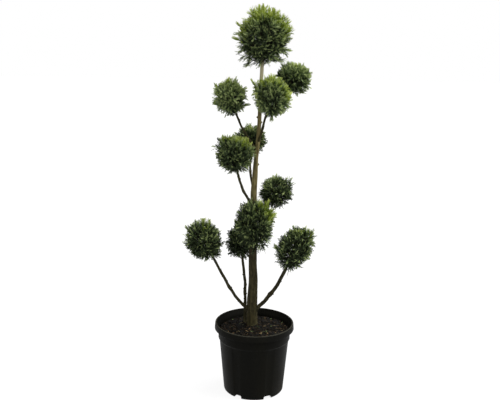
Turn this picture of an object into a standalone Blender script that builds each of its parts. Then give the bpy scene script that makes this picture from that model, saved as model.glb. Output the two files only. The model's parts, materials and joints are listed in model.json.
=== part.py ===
"""A conifer clipped into pompons, in its round nursery pot, as separate faceted solids.

Units are metres and +Z is up. The origin is the centre of the pot's flat underside.
The plant is seen from the front along +Y, with +X to the right.
"""

import math
import random
from collections import namedtuple

import bmesh
import bpy
from mathutils import Matrix, Quaternion, Vector

# Clearance between pieces that touch on the real plant
FIT_GAP = 0.0003

# Colours
POT_BLACK = (0.012, 0.012, 0.011)
SOIL_BROWN = (0.016, 0.013, 0.008)
TRUNK_BROWN = (0.060, 0.052, 0.026)
BOUGH_BROWN = (0.055, 0.047, 0.026)
CROWN_GREEN = (0.130, 0.175, 0.055)
MIDDLE_GREEN = (0.060, 0.092, 0.030)
LOWER_GREEN = (0.038, 0.058, 0.022)
SHADE_GREEN = (0.022, 0.033, 0.014)

# Pot: a thin moulded wall that flares into a rolled lip, a collar under it and drainage recesses
POT_HEIGHT = 0.328
RIM_RADIUS = 0.184
POT_WALL = 0.003
LIP_DROP = 0.028
LIP_ROUND = 0.004
LIP_TAPER = 0.002
FLARE_RADIUS = 0.1745
FLARE_WALL = 0.0025
FLARE_ROUND = 0.002
FLARE_FOOT = 0.300
COLLAR_RADIUS = 0.1665
COLLAR_FOOT = 0.256
COLLAR_STEP = 0.007
WALL_TOP_RADIUS = 0.1612
WALL_FOOT_RADIUS = 0.1397
FOOT_ROUND = 0.008
POT_SEGMENTS = 32
RECESS_COUNT = 6
RECESS_FIRST_DEG = -62.0
RECESS_WIDTH = 0.040
RECESS_HEIGHT = 0.017
RECESS_DEPTH = 0.030
RECESS_ROUND = 0.006
RECESS_WALL_FOOT = 0.0015
RECESS_CUT_FOOT = -0.010
RECESS_CUT_REACH = 0.165
HIDDEN_SKIN = 0.0004

# Potting soil: its level at the wall, and how far it rises towards the trunk
SOIL_LEVEL = 0.290
SOIL_MOUND = 0.011
SOIL_MOUND_CURVE = 1.6
SOIL_ROUGHNESS = 0.003
SOIL_ROUGH_SHARE = 0.97
SOIL_SEED = 5
SOIL_RINGS = 3

# Trunk: height, x, y and radius at its stations, from the flat cut in the soil to the tip in the crown
TRUNK_STATIONS = (
    (0.286, -0.0095, 0.032, 0.0280),
    (0.318, -0.0095, 0.032, 0.0258),
    (0.400, -0.0115, 0.029, 0.0246),
    (0.450, -0.0105, 0.027, 0.0236),
    (0.518, -0.0085, 0.024, 0.0214),
    (0.621, -0.0115, 0.020, 0.0190),
    (0.833, -0.0095, 0.015, 0.0152),
    (0.931, -0.0115, 0.012, 0.0142),
    (1.013, -0.0075, 0.010, 0.0124),
    (1.099, -0.0035, 0.010, 0.0105),
    (1.175, 0.0045, 0.010, 0.0098),
    (1.237, 0.0075, 0.010, 0.0092),
    (1.372, 0.0115, 0.010, 0.0085),
    (1.513, 0.0165, 0.010, 0.0074),
    (1.610, 0.021, 0.010, 0.0045),
    (1.665, 0.022, 0.010, 0.0032),
)
TRUNK_SIDES = 12
TRUNK_RINGS = 24

# Pruned stubs on the trunk: height, direction in degrees from +X towards +Y, radius
STUBS = (
    (1.062, 0.0, 0.0042),
    (1.250, -10.0, 0.0036),
    (1.272, 185.0, 0.0038),
    (0.412, 262.0, 0.0065),
)
STUB_LENGTH = 0.005
STUB_RISE_DEG = 20.0
STUB_TAPER = 0.7

# Foliage masses: half sizes of the space that each one keeps to, and how far its top leans to +X.
# A bulge is an angle in the front view, from +X up towards +Z, and how far the space swells there.
Mass = namedtuple("Mass", "name centre half_width half_height lean bulges colour")
MASSES = (
    Mass("foliage_crown", (0.021, 0.010, 1.618), 0.122, 0.137, 0.0,
         ((124, -0.09), (152, 0.08), (180, -0.04), (210, 0.13), (250, 0.09),
          (35, 0.06), (62, -0.08), (298, 0.08), (322, -0.01)),
         CROWN_GREEN),
    Mass("foliage_upper_right", (0.158, 0.070, 1.443), 0.080, 0.073, 0.0,
         ((285, 0.03), (42, -0.16), (95, -0.08), (144, 0.26)),
         MIDDLE_GREEN),
    Mass("foliage_upper_left", (-0.119, -0.040, 1.361), 0.073, 0.084, 0.0,
         ((138, 0.16), (50, -0.08), (10, 0.08), (202, -0.10), (242, 0.08), (325, 0.05)),
         MIDDLE_GREEN),
    Mass("foliage_upper_front", (0.060, -0.100, 1.366), 0.088, 0.094, 0.0,
         ((350, 0.08), (312, -0.24), (156, 0.15), (198, -0.34), (113, 0.18)),
         MIDDLE_GREEN),
    Mass("foliage_back", (-0.027, 0.120, 1.158), 0.069, 0.070, 0.0,
         ((138, 0.40), (98, -0.18), (320, -0.05)),
         SHADE_GREEN),
    Mass("foliage_middle_left", (-0.099, -0.080, 1.120), 0.089, 0.087, 0.0,
         ((142, 0.50), (184, -0.34), (100, -0.08), (252, -0.08)),
         LOWER_GREEN),
    Mass("foliage_middle_right", (0.094, 0.100, 0.924), 0.082, 0.077, 0.0,
         ((345, -0.18), (98, -0.08), (132, 0.08), (36, 0.08), (282, 0.10)),
         LOWER_GREEN),
    Mass("foliage_centre", (-0.004, -0.020, 0.802), 0.099, 0.122, 0.0,
         ((30, 0.09), (355, -0.18), (150, 0.18), (180, 0.08), (284, 0.20)),
         MIDDLE_GREEN),
    Mass("foliage_low_back", (-0.071, 0.095, 0.680), 0.064, 0.084, 0.0,
         ((122, 0.50), (198, -0.42), (255, 0.18)),
         SHADE_GREEN),
    Mass("foliage_lower_left", (-0.232, -0.020, 0.716), 0.088, 0.095, 0.0,
         ((78, 0.04), (38, -0.15), (166, 0.27), (192, -0.08), (332, 0.16), (246, 0.13)),
         LOWER_GREEN),
    Mass("foliage_lower_right", (0.181, -0.020, 0.690), 0.086, 0.107, 0.018,
         ((52, 0.14), (216, 0.42), (352, -0.28), (312, -0.10), (266, 0.20), (124, 0.14)),
         LOWER_GREEN),
)
BULGE_SPREAD = 0.15

# Stray shoots that clipping left: the mass, the angle in the front view, and how far each reaches
Stray = namedtuple("Stray", "mass angle_deg reach")
STRAYS = (
    Stray("foliage_crown", 107, 1.13),
    Stray("foliage_crown", 93, 1.10),
    Stray("foliage_crown", 164, 1.11),
    Stray("foliage_crown", 192, 1.15),
    Stray("foliage_crown", 331, 1.14),
    Stray("foliage_crown", 243, 1.12),
    Stray("foliage_upper_right", 293, 1.20),
    Stray("foliage_upper_right", 8, 1.14),
    Stray("foliage_upper_left", 155, 1.16),
    Stray("foliage_upper_left", 327, 1.24),
    Stray("foliage_upper_left", 216, 1.18),
    Stray("foliage_upper_front", 153, 1.26),
    Stray("foliage_upper_front", 270, 1.15),
    Stray("foliage_middle_left", 200, 1.20),
    Stray("foliage_middle_right", 93, 1.14),
    Stray("foliage_centre", 47, 1.16),
    Stray("foliage_lower_left", 70, 1.18),
    Stray("foliage_lower_left", 98, 1.13),
    Stray("foliage_lower_left", 148, 1.14),
    Stray("foliage_lower_right", 29, 1.12),
    Stray("foliage_lower_right", 190, 1.16),
)

# Boughs: where each leaves the trunk, how steeply it leaves and arrives, its sideways bow and radii
Bough = namedtuple("Bough", "name mass foot_height leave_deg arrive_deg bow root_radius tip_radius")
BOUGHS = (
    Bough("bough_lower_left", "foliage_lower_left", 0.363, 38, 62, 0.0, 0.0078, 0.0058),
    Bough("bough_lower_right", "foliage_lower_right", 0.358, 46, 67, 0.0, 0.0094, 0.0080),
    Bough("bough_middle_left", "foliage_middle_left", 0.862, 56, 75, 0.0, 0.0062, 0.0054),
    Bough("bough_middle_right", "foliage_middle_right", 0.800, 42, 38, 0.0, 0.0058, 0.0048),
    Bough("bough_back", "foliage_back", 0.950, 66, 58, 0.018, 0.0056, 0.0045),
    Bough("bough_upper_left", "foliage_upper_left", 1.130, 49, 68, 0.0, 0.0054, 0.0046),
    Bough("bough_upper_front", "foliage_upper_front", 1.164, 55, 57, 0.0, 0.0056, 0.0048),
    Bough("bough_upper_right", "foliage_upper_right", 1.292, 50, 36, 0.0, 0.0050, 0.0042),
)
# The thin side stem rises from the soil behind the trunk's left side
SIDE_STEM = Bough("side_stem", "foliage_low_back", 0.286, 88, 76, 0.0, 0.0075, 0.0062)
SIDE_STEM_X = -0.043
SIDE_STEM_Y = 0.062
SIDE_STEM_SWELL = 0.15
NEARLY_UPRIGHT = 0.98
BOUGH_SIDES = 8
BOUGH_RINGS = 9
BOUGH_HANDLE = 0.36
COLLAR_SWELL = 0.30
COLLAR_LENGTH = 0.08
KNOT_SWELL = 0.22
KNOT_PLACE = 0.52
KNOT_LENGTH = 0.05

# Inside each mass: sizes are shares of the way from its centre to the edge of its space
CORE_SHARE = 0.83
CORE_LUMPS = 0.06
CORE_DETAIL = 2
ENTRY_SHARE = 0.94
STEM_SIDES = 6
STEM_REACH = 0.20
LEADER_SHARE = 1.04
STEM_SQUARE = 0.004
STEM_TAPER = 0.5
TWIG_COUNT = 10
TWIG_FOOT_SHARE = 0.30
TWIG_TIP_SHARE = 0.92
TWIG_RADIUS = 0.0028
TWIG_TAPER = 0.5
TWIG_SIDES = 3
TWIG_PROBES = 6
TWIG_JITTER = 0.16
BLADES_ROUND_TWIG = 3
BLADE_ROOT_SHARE = 0.66
BLADE_TIP_SHARE = 1.00
BLADE_REACH_LOW = 0.95
BLADE_REACH_HIGH = 1.07
BLADE_SPREAD = 0.50
BLADE_ROOT_SPREAD = 0.26
BLADE_WIDTH_SHARE = 0.92
BLADE_LIE = 0.6
BLADE_THICKNESS = 0.0036
BLADE_OUTLINE = ((0.0, 0.0), (0.82, 0.50), (0.80, 0.17), (1.0, 0.0), (0.79, -0.19), (0.72, -0.50))
BLADE_WIDEST = 0.77
BLADE_RIDGE = 0.5
SPACE_SHARE = 1.10
STRAY_ROOT_SHARE = 0.74
STRAY_WIDTH_SHARE = 0.42
# A share of the way by which a stray blade may stand over its reach
STRAY_ROOM = 0.01
UPTURN = 0.20
LIMB_CLEARANCE = 0.004
NEIGHBOUR_CLEARANCE = 1.03


def unit(vector):
    """The direction of a vector."""
    return Vector(vector).normalized()


def make_object(name, mesh_maker):
    """An object whose mesh is filled by a function that gets an empty bmesh."""
    mesh = bpy.data.meshes.new(name)
    shape = bmesh.new()
    mesh_maker(shape)
    bmesh.ops.recalc_face_normals(shape, faces=shape.faces)
    shape.to_mesh(mesh)
    shape.free()
    made = bpy.data.objects.new(name, mesh)
    bpy.context.scene.collection.objects.link(made)
    return made


def give_material(made, colour, roughness, metallic=0.0):
    """One plain material of its own for an object."""
    material = bpy.data.materials.new(made.name + "_finish")
    material.use_nodes = True
    shader = material.node_tree.nodes["Principled BSDF"]
    shader.inputs["Base Color"].default_value = (*colour, 1.0)
    shader.inputs["Roughness"].default_value = roughness
    shader.inputs["Metallic"].default_value = metallic
    made.data.materials.clear()
    made.data.materials.append(material)


def remove_object(made):
    """Takes away an object and its mesh."""
    mesh = made.data
    bpy.data.objects.remove(made)
    bpy.data.meshes.remove(mesh)


def combine(made, others, operation, solver="EXACT"):
    """Applies one Boolean between an object and a list of others, which are then removed."""
    group = bpy.data.collections.new(made.name + "_operands")
    bpy.context.scene.collection.children.link(group)
    for other in others:
        bpy.context.scene.collection.objects.unlink(other)
        group.objects.link(other)
    modifier = made.modifiers.new("combine", "BOOLEAN")
    modifier.operation = operation
    modifier.operand_type = "COLLECTION"
    modifier.collection = group
    modifier.solver = solver
    depsgraph = bpy.context.evaluated_depsgraph_get()
    result = bpy.data.meshes.new_from_object(made.evaluated_get(depsgraph))
    made.modifiers.clear()
    before = made.data
    made.data = result
    bpy.data.meshes.remove(before)
    for other in others:
        remove_object(other)
    bpy.data.collections.remove(group)


def islands(shape):
    """The separate bodies of a bmesh, as lists of faces."""
    left = set(shape.faces)
    found = []
    while left:
        body = [left.pop()]
        for face in body:
            for edge in face.edges:
                for neighbour in edge.link_faces:
                    if neighbour in left:
                        left.remove(neighbour)
                        body.append(neighbour)
        found.append(body)
    return found


def body_volume(faces):
    """The signed volume inside closed triangles."""
    total = 0.0
    for face in faces:
        first, second, third = (vertex.co for vertex in face.verts)
        total += first.dot(second.cross(third)) / 6.0
    return total


def keep_main_body(made, merge=1e-6):
    """Triangulates, and drops the sealed hollows and loose scraps that fusing leaves."""
    shape = bmesh.new()
    shape.from_mesh(made.data)
    bmesh.ops.remove_doubles(shape, verts=shape.verts, dist=merge)
    bmesh.ops.triangulate(shape, faces=shape.faces)
    bmesh.ops.dissolve_degenerate(shape, edges=shape.edges, dist=merge)
    bmesh.ops.triangulate(shape, faces=shape.faces)
    bodies = sorted(islands(shape), key=lambda body: abs(body_volume(body)))
    for body in bodies[:-1]:
        bmesh.ops.delete(shape, geom=body, context="FACES")
    shape.to_mesh(made.data)
    shape.free()


def shade_round(made, angle_deg=35.0):
    """Smooth shading with sharp edges kept."""
    made.data.shade_smooth()
    made.data.set_sharp_from_angle(angle=math.radians(angle_deg))


def arc(centre, radius, start_deg, end_deg, steps):
    """Points of an arc in the turning plane, both ends included."""
    points = []
    for step in range(steps + 1):
        angle = math.radians(start_deg + (end_deg - start_deg) * step / steps)
        points.append((centre[0] + radius * math.cos(angle), centre[1] + radius * math.sin(angle)))
    return points


def turn_profile(shape, profile, segments, height_of=None):
    """Turns an open profile, whose ends lie on the axis, into a closed body."""
    rings = []
    for radius, height in profile:
        if radius < 1e-6:
            lift = height_of(0.0, 0.0) if height_of and (radius, height) == profile[-1] else 0.0
            rings.append([shape.verts.new((0.0, 0.0, height + lift))])
            continue
        ring = []
        for step in range(segments):
            angle = 2.0 * math.pi * step / segments
            ring.append(shape.verts.new((radius * math.cos(angle), radius * math.sin(angle), height)))
        rings.append(ring)
    for lower, upper in zip(rings, rings[1:]):
        for step in range(segments):
            corners = [lower[step % len(lower)], lower[(step + 1) % segments % len(lower)]]
            corners += [upper[(step + 1) % segments % len(upper)], upper[step % len(upper)]]
            shape.faces.new(list(dict.fromkeys(corners)))


def recess_maker(grow, outer_end, foot):
    """The drainage recesses as arched blocks that point to the pot's axis, grown on every side."""
    half = RECESS_WIDTH / 2 + grow
    top = RECESS_HEIGHT + grow
    corner = RECESS_ROUND + grow
    right_arc = arc((half - corner, top - corner), corner, 0, 90, 2)
    left_arc = arc((corner - half, top - corner), corner, 90, 180, 2)
    outline = [(half, foot)] + right_arc + left_arc + [(-half, foot)]
    inner_end = WALL_FOOT_RADIUS - RECESS_DEPTH - grow

    def fill(shape):
        for index in range(RECESS_COUNT):
            turn = Matrix.Rotation(math.radians(RECESS_FIRST_DEG + index * 360 / RECESS_COUNT), 3, "Z")
            inner = [shape.verts.new(turn @ Vector((inner_end, y, z))) for y, z in outline]
            outer = [shape.verts.new(turn @ Vector((outer_end, y, z))) for y, z in outline]
            shape.faces.new(inner[::-1])
            shape.faces.new(outer)
            for step in range(len(outline)):
                after = (step + 1) % len(outline)
                shape.faces.new((inner[step], inner[after], outer[after], outer[step]))

    return fill


def outer_profile():
    """The pot's outer side, from the middle of its underside to the collar's top."""
    points = [(0.0, 0.0)]
    points += arc((WALL_FOOT_RADIUS - FOOT_ROUND, FOOT_ROUND), FOOT_ROUND, -90, 0, 2)
    points += [(WALL_TOP_RADIUS, COLLAR_FOOT - COLLAR_STEP), (COLLAR_RADIUS, COLLAR_FOOT)]
    return points


def inner_profile(clearance=0.0):
    """The pot's inner side, from the collar's foot down to the middle of the floor."""
    inset = POT_WALL + clearance
    foot_rise = WALL_TOP_RADIUS - WALL_FOOT_RADIUS
    lowest = WALL_FOOT_RADIUS + foot_rise * FOOT_ROUND / COLLAR_FOOT
    return [
        (COLLAR_RADIUS - inset, COLLAR_FOOT),
        (WALL_TOP_RADIUS - inset, COLLAR_FOOT - COLLAR_STEP),
        (lowest - inset, FOOT_ROUND + inset),
        (lowest - inset - FOOT_ROUND / 2, inset),
        (0.0, inset),
    ]


def build_pot():
    """The thin-walled pot with its hollow lip and six drainage recesses."""
    lip_under = POT_HEIGHT - POT_WALL
    lip_foot = POT_HEIGHT - LIP_DROP
    bore = COLLAR_RADIUS - POT_WALL
    profile = outer_profile()
    crest = RIM_RADIUS - LIP_TAPER
    profile += [(COLLAR_RADIUS, FLARE_FOOT), (FLARE_RADIUS + FLARE_WALL, lip_under)]
    profile += [(crest - POT_WALL, lip_under), (RIM_RADIUS - POT_WALL, lip_foot), (RIM_RADIUS, lip_foot)]
    profile += arc((crest - LIP_ROUND, POT_HEIGHT - LIP_ROUND), LIP_ROUND, 0, 90, 2)
    profile += arc((FLARE_RADIUS + FLARE_ROUND, POT_HEIGHT - FLARE_ROUND), FLARE_ROUND, 90, 180, 1)
    profile += [(bore, FLARE_FOOT)]
    profile += inner_profile()
    pot = make_object("pot", lambda shape: turn_profile(shape, profile, POT_SEGMENTS))

    plug_profile = []
    for radius, height in outer_profile():
        plug_profile.append((max(radius - HIDDEN_SKIN, 0.0), height + HIDDEN_SKIN))
    plug_profile.append((0.0, COLLAR_FOOT))
    plug = make_object("plug", lambda shape: turn_profile(shape, plug_profile, POT_SEGMENTS))
    recess_walls = make_object("recess_walls", recess_maker(POT_WALL, WALL_FOOT_RADIUS, RECESS_WALL_FOOT))
    combine(recess_walls, [plug], "INTERSECT")
    combine(pot, [recess_walls], "UNION")
    recesses = make_object("recesses", recess_maker(0.0, RECESS_CUT_REACH, RECESS_CUT_FOOT))
    combine(pot, [recesses], "DIFFERENCE")
    keep_main_body(pot)
    give_material(pot, POT_BLACK, 0.42)
    shade_round(pot)
    return pot


def build_soil(feet):
    """The mounded potting soil, clear of the pot, with pockets for the feet that stand in it."""
    draw = random.Random(SOIL_SEED)
    bore = COLLAR_RADIUS - POT_WALL - FIT_GAP
    profile = inner_profile(FIT_GAP)[::-1]
    for ring in range(SOIL_RINGS):
        share = 1.0 - ring / SOIL_RINGS
        profile.append((bore * share, SOIL_LEVEL + SOIL_MOUND * (1.0 - share ** SOIL_MOUND_CURVE)))
    profile.append((0.0, SOIL_LEVEL + SOIL_MOUND))

    def fill(shape):
        turn_profile(shape, profile, POT_SEGMENTS)
        for vertex in shape.verts:
            inside = vertex.co.xy.length < bore * SOIL_ROUGH_SHARE
            if inside and vertex.co.z > SOIL_LEVEL:
                vertex.co.z += draw.uniform(-SOIL_ROUGHNESS, SOIL_ROUGHNESS)

    soil = make_object("soil", fill)
    pockets = [limb_object("pocket", foot, FIT_GAP) for foot in feet]
    walls = recess_maker(POT_WALL + FIT_GAP, WALL_FOOT_RADIUS, RECESS_WALL_FOOT)
    recess_walls = make_object("recess_walls", walls)
    combine(soil, pockets + [recess_walls], "DIFFERENCE")
    keep_main_body(soil)
    give_material(soil, SOIL_BROWN, 0.95)
    return soil


Limb = namedtuple("Limb", "path radii sides")


def spline_point(rows, place):
    """A point on the smooth curve through rows of numbers, at a place counted in rows."""
    index = min(int(place), len(rows) - 2)
    share = place - index
    before, start = rows[max(index - 1, 0)], rows[index]
    end, after = rows[index + 1], rows[min(index + 2, len(rows) - 1)]
    point = []
    for a, b, c, d in zip(before, start, end, after):
        point.append(b + 0.5 * share * (c - a + share * (2 * a - 5 * b + 4 * c - d
                                                       + share * (3 * (b - c) + d - a))))
    return point


def trunk_at(height):
    """The trunk's middle point and radius at a height."""
    for low, high in zip(TRUNK_STATIONS, TRUNK_STATIONS[1:]):
        if height <= high[0]:
            share = (height - low[0]) / (high[0] - low[0])
            row = [a + (b - a) * share for a, b in zip(low, high)]
            return Vector((row[1], row[2], row[0])), row[3]
    top = TRUNK_STATIONS[-1]
    return Vector((top[1], top[2], top[0])), top[3]


def trunk_limb():
    """The trunk's path and radii."""
    path = []
    radii = []
    for ring in range(TRUNK_RINGS):
        place = (len(TRUNK_STATIONS) - 1) * ring / (TRUNK_RINGS - 1)
        height, x, y, radius = spline_point(TRUNK_STATIONS, place)
        path.append(Vector((x, y, height)))
        radii.append(radius)
    return Limb(path, radii, TRUNK_SIDES)


def swell(mass, direction):
    """How far a mass's bulges and dents move the edge of its space in a direction."""
    total = 1.0
    for angle_deg, gain in mass.bulges:
        angle = math.radians(angle_deg)
        towards = direction.x * math.cos(angle) + direction.z * math.sin(angle)
        total += gain * math.exp((towards - 1.0) / BULGE_SPREAD)
    return total


def mass_point(mass, direction, share):
    """The point of a mass at a share of the way from its centre to the edge of its space."""
    reach = share * swell(mass, direction)
    x, y, z = (part * reach for part in direction)
    offset = Vector((x * mass.half_width + z * mass.lean, y * mass.half_width, z * mass.half_height))
    return Vector(mass.centre) + offset


def share_of(mass, point):
    """How far a point is from a mass's centre, where 1 is the edge of its space."""
    offset = Vector(point) - Vector(mass.centre)
    z = offset.z / mass.half_height
    x = (offset.x - z * mass.lean) / mass.half_width
    round_offset = Vector((x, offset.y / mass.half_width, z))
    return round_offset.length / swell(mass, unit(round_offset))


def entry_point(mass, direction):
    """Where a limb that points at a mass's centre stops, just outside the core."""
    far = Vector(mass.centre) - direction
    return Vector(mass.centre) - direction * (ENTRY_SHARE / share_of(mass, far))


def slope(azimuth, elevation_deg):
    """A direction from a level azimuth and an elevation."""
    elevation = math.radians(elevation_deg)
    return Vector((azimuth.x * math.cos(elevation), azimuth.y * math.cos(elevation), math.sin(elevation)))


def bough_limb(bough):
    """A bough's path and radii: a smooth sweep from the trunk, or the soil, to its mass."""
    mass = next(mass for mass in MASSES if mass.name == bough.mass)
    if bough is SIDE_STEM:
        foot = Vector((SIDE_STEM_X, SIDE_STEM_Y, bough.foot_height))
    else:
        foot = trunk_at(bough.foot_height)[0]
    azimuth = Vector(mass.centre) - foot
    azimuth.z = 0.0
    azimuth.normalize()
    leave = slope(azimuth, bough.leave_deg)
    arrive = slope(azimuth, bough.arrive_deg)
    tip = entry_point(mass, arrive)
    handle = BOUGH_HANDLE * (tip - foot).length
    sideways = Vector((-azimuth.y, azimuth.x, 0.0)) * bough.bow
    corners = (foot, foot + leave * handle + sideways, tip - arrive * handle + sideways, tip)
    path = []
    radii = []
    for ring in range(BOUGH_RINGS):
        share = ring / (BOUGH_RINGS - 1)
        weights = ((1 - share) ** 3, 3 * share * (1 - share) ** 2, 3 * share ** 2 * (1 - share), share ** 3)
        path.append(sum((weight * corner for weight, corner in zip(weights, corners)), Vector()))
        radius = bough.root_radius + (bough.tip_radius - bough.root_radius) * share
        collar = (SIDE_STEM_SWELL if bough is SIDE_STEM else COLLAR_SWELL) * math.exp(-share / COLLAR_LENGTH)
        knot = KNOT_SWELL * math.exp(-((share - KNOT_PLACE) / KNOT_LENGTH) ** 2)
        radii.append(radius * (1.0 + collar + knot))
    return Limb(path, radii, BOUGH_SIDES)


def fill_tube(shape, path, radii, sides, grow=0.0):
    """A closed tube along a path. Its rings stand square to the path, the first one level or square."""
    count = len(path)
    normal = Vector((1.0, 0.0, 0.0))
    rings = []
    for index, (centre, radius) in enumerate(zip(path, radii)):
        tangent = unit(path[min(index + 1, count - 1)] - path[max(index - 1, 0)])
        if index == 0 and tangent.z > NEARLY_UPRIGHT:
            tangent = Vector((0.0, 0.0, 1.0))
        normal = unit(normal - tangent * normal.dot(tangent))
        across = tangent.cross(normal)
        end_shift = tangent * grow * ((index == count - 1) - (index == 0))
        ring = []
        for step in range(sides):
            angle = 2.0 * math.pi * step / sides
            reach = (normal * math.cos(angle) + across * math.sin(angle)) * (radius + grow)
            ring.append(shape.verts.new(centre + end_shift + reach))
        rings.append(ring)
    shape.faces.new(rings[0][::-1])
    shape.faces.new(rings[-1])
    for lower, upper in zip(rings, rings[1:]):
        for step in range(sides):
            after = (step + 1) % sides
            shape.faces.new((lower[step], lower[after], upper[after], upper[step]))


def limb_object(name, limb, grow=0.0):
    """A limb as an object, grown on every side when it is used as a cutter."""
    return make_object(name, lambda shape: fill_tube(shape, *limb, grow))


def build_trunk():
    """The whole trunk with its pruned stubs."""
    trunk = limb_object("trunk", trunk_limb())
    stubs = []
    for height, direction_deg, radius in STUBS:
        centre, trunk_radius = trunk_at(height)
        turn = math.radians(direction_deg)
        direction = slope(Vector((math.cos(turn), math.sin(turn), 0.0)), STUB_RISE_DEG)
        path = [centre, centre + direction * (trunk_radius + STUB_LENGTH)]
        stubs.append(limb_object("stub", Limb(path, [radius, radius * STUB_TAPER], STEM_SIDES)))
    combine(trunk, stubs, "UNION")
    keep_main_body(trunk)
    give_material(trunk, TRUNK_BROWN, 0.85)
    shade_round(trunk)
    return trunk


def build_bough(bough):
    """One bough, cut clear of the trunk where it leaves it."""
    made = limb_object(bough.name, bough_limb(bough))
    if bough is not SIDE_STEM:
        combine(made, [limb_object("socket", trunk_limb(), FIT_GAP)], "DIFFERENCE")
    keep_main_body(made)
    give_material(made, BOUGH_BROWN, 0.85)
    shade_round(made)
    return made


def even_directions(count, draw, jitter):
    """Directions spread evenly over a sphere on a golden spiral, each moved a little."""
    golden = math.pi * (3.0 - math.sqrt(5.0))
    for index in range(count):
        z = 1.0 - 2.0 * (index + 0.5) / count
        level = math.sqrt(1.0 - z * z)
        spot = Vector((level * math.cos(golden * index), level * math.sin(golden * index), z))
        yield unit(spot + Vector([draw.uniform(-jitter, jitter) for _ in range(3)]))


def near_limb(point, limbs, margin):
    """Whether a point comes within a margin of any limb."""
    for limb in limbs:
        for start, end, radius in zip(limb.path, limb.path[1:], limb.radii):
            along = end - start
            share = max(0.0, min(1.0, (point - start).dot(along) / along.length_squared))
            if (point - start - along * share).length < radius + margin:
                return True
    return False


def fits(mass, points, limbs, limit=SPACE_SHARE):
    """Whether points stay in a mass's space, off its neighbours' spaces and off every limb."""
    neighbours = [other for other in MASSES if other is not mass]
    for point in points:
        if share_of(mass, point) > limit:
            return False
        if any(share_of(other, point) < NEIGHBOUR_CLEARANCE for other in neighbours):
            return False
        if near_limb(point, limbs, LIMB_CLEARANCE):
            return False
    return True


def fill_blade(shape, root, tip, side, width_share):
    """A toothed spray blade: a tip and two side teeth round a middle ridge on both faces."""
    along = tip - root
    side = unit(side - along * side.dot(along) / along.length_squared)
    normal = unit(along.cross(side)) * BLADE_THICKNESS / 2
    width = side * along.length * width_share
    edge = [shape.verts.new(root + along * a + width * b) for a, b in BLADE_OUTLINE]
    front = shape.verts.new(root + along * BLADE_RIDGE + normal)
    back = shape.verts.new(root + along * BLADE_RIDGE - normal)
    for step in range(len(edge)):
        after = (step + 1) % len(edge)
        shape.faces.new((edge[step], edge[after], front))
        shape.faces.new((edge[after], edge[step], back))


def blade_object(root, tip, side, width_share):
    """One spray blade as an object."""
    return make_object("blade", lambda shape: fill_blade(shape, root, tip, side, width_share))


def blade_probe(root, tip, side, width_share):
    """The outer points of a blade, which have to fit."""
    along = tip - root
    side = unit(side - along * side.dot(along) / along.length_squared)
    width = side * along.length * width_share / 2
    middle = root + along * BLADE_WIDEST
    return [root, root.lerp(middle, 0.5), middle + width, middle - width, tip]


def stem_limb(mass, carrier):
    """The stem that goes on from the tip of a mass's bough, or of the trunk, into the mass."""
    axis = unit(carrier.path[-1] - carrier.path[-2])
    start = carrier.path[-1] + axis * FIT_GAP
    end = Vector(mass.centre) + axis * STEM_REACH * mass.half_height
    if carrier.sides == TRUNK_SIDES:
        end = mass_point(mass, Vector((0.0, 0.0, 1.0)), LEADER_SHARE)
    radius = carrier.radii[-1]
    return Limb([start, start + axis * STEM_SQUARE, end], [radius, radius, radius * STEM_TAPER], STEM_SIDES)


def build_mass(mass, carrier, limbs, cutters):
    """One mass: a stem, twigs that spread from it, blades fused on them, and the core inside."""
    draw = random.Random(mass.name)

    def fill_core(shape):
        bmesh.ops.create_icosphere(shape, subdivisions=CORE_DETAIL, radius=1.0)
        for vertex in shape.verts:
            share = CORE_SHARE * (1.0 + draw.uniform(-CORE_LUMPS, CORE_LUMPS))
            vertex.co = mass_point(mass, unit(vertex.co), share)

    core = make_object(mass.name, fill_core)
    if cutters:
        combine(core, [limb_object("tunnel", limbs[name], FIT_GAP) for name in cutters], "DIFFERENCE")

    parts = [limb_object("stem", stem_limb(mass, limbs[carrier]))] if carrier else []
    lift = Vector((0.0, 0.0, UPTURN))
    for direction in even_directions(TWIG_COUNT, draw, TWIG_JITTER):
        foot = mass_point(mass, direction, TWIG_FOOT_SHARE)
        tip = mass_point(mass, unit(direction + lift), TWIG_TIP_SHARE)
        probes = [foot.lerp(tip, step / TWIG_PROBES) for step in range(TWIG_PROBES + 1)]
        if fits(mass, probes, limbs.values()):
            twig = Limb([foot, tip], [TWIG_RADIUS, TWIG_RADIUS * TWIG_TAPER], TWIG_SIDES)
            parts.append(limb_object("twig", twig))
        across = unit(direction.cross(Vector([draw.uniform(-1, 1) for _ in range(3)])))
        first_turn = draw.uniform(0.0, math.pi)
        for index in range(BLADES_ROUND_TWIG):
            turn = Quaternion(direction, first_turn + 2.0 * math.pi * index / BLADES_ROUND_TWIG)
            away = turn @ across
            root = mass_point(mass, unit(direction + away * BLADE_ROOT_SPREAD), BLADE_ROOT_SHARE)
            reach = BLADE_TIP_SHARE * draw.uniform(BLADE_REACH_LOW, BLADE_REACH_HIGH)
            tip = mass_point(mass, unit(direction + away * BLADE_SPREAD + lift), reach)
            side = away.cross(direction).lerp(away, draw.uniform(0.0, BLADE_LIE))
            if fits(mass, blade_probe(root, tip, side, BLADE_WIDTH_SHARE), limbs.values()):
                parts.append(blade_object(root, tip, side, BLADE_WIDTH_SHARE))
    for stray in STRAYS:
        if stray.mass != mass.name:
            continue
        turn = math.radians(stray.angle_deg)
        direction = Vector((math.cos(turn), 0.0, math.sin(turn)))
        side = Vector((-math.sin(turn), 0.0, math.cos(turn)))
        root = mass_point(mass, direction, STRAY_ROOT_SHARE)
        tip = mass_point(mass, direction, stray.reach)
        probe = blade_probe(root, tip, side, STRAY_WIDTH_SHARE)
        if fits(mass, probe, limbs.values(), stray.reach + STRAY_ROOM):
            parts.append(blade_object(root, tip, side, STRAY_WIDTH_SHARE))
    combine(core, parts, "UNION", "MANIFOLD")
    keep_main_body(core)
    give_material(core, mass.colour, 0.6)
    return core


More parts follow.
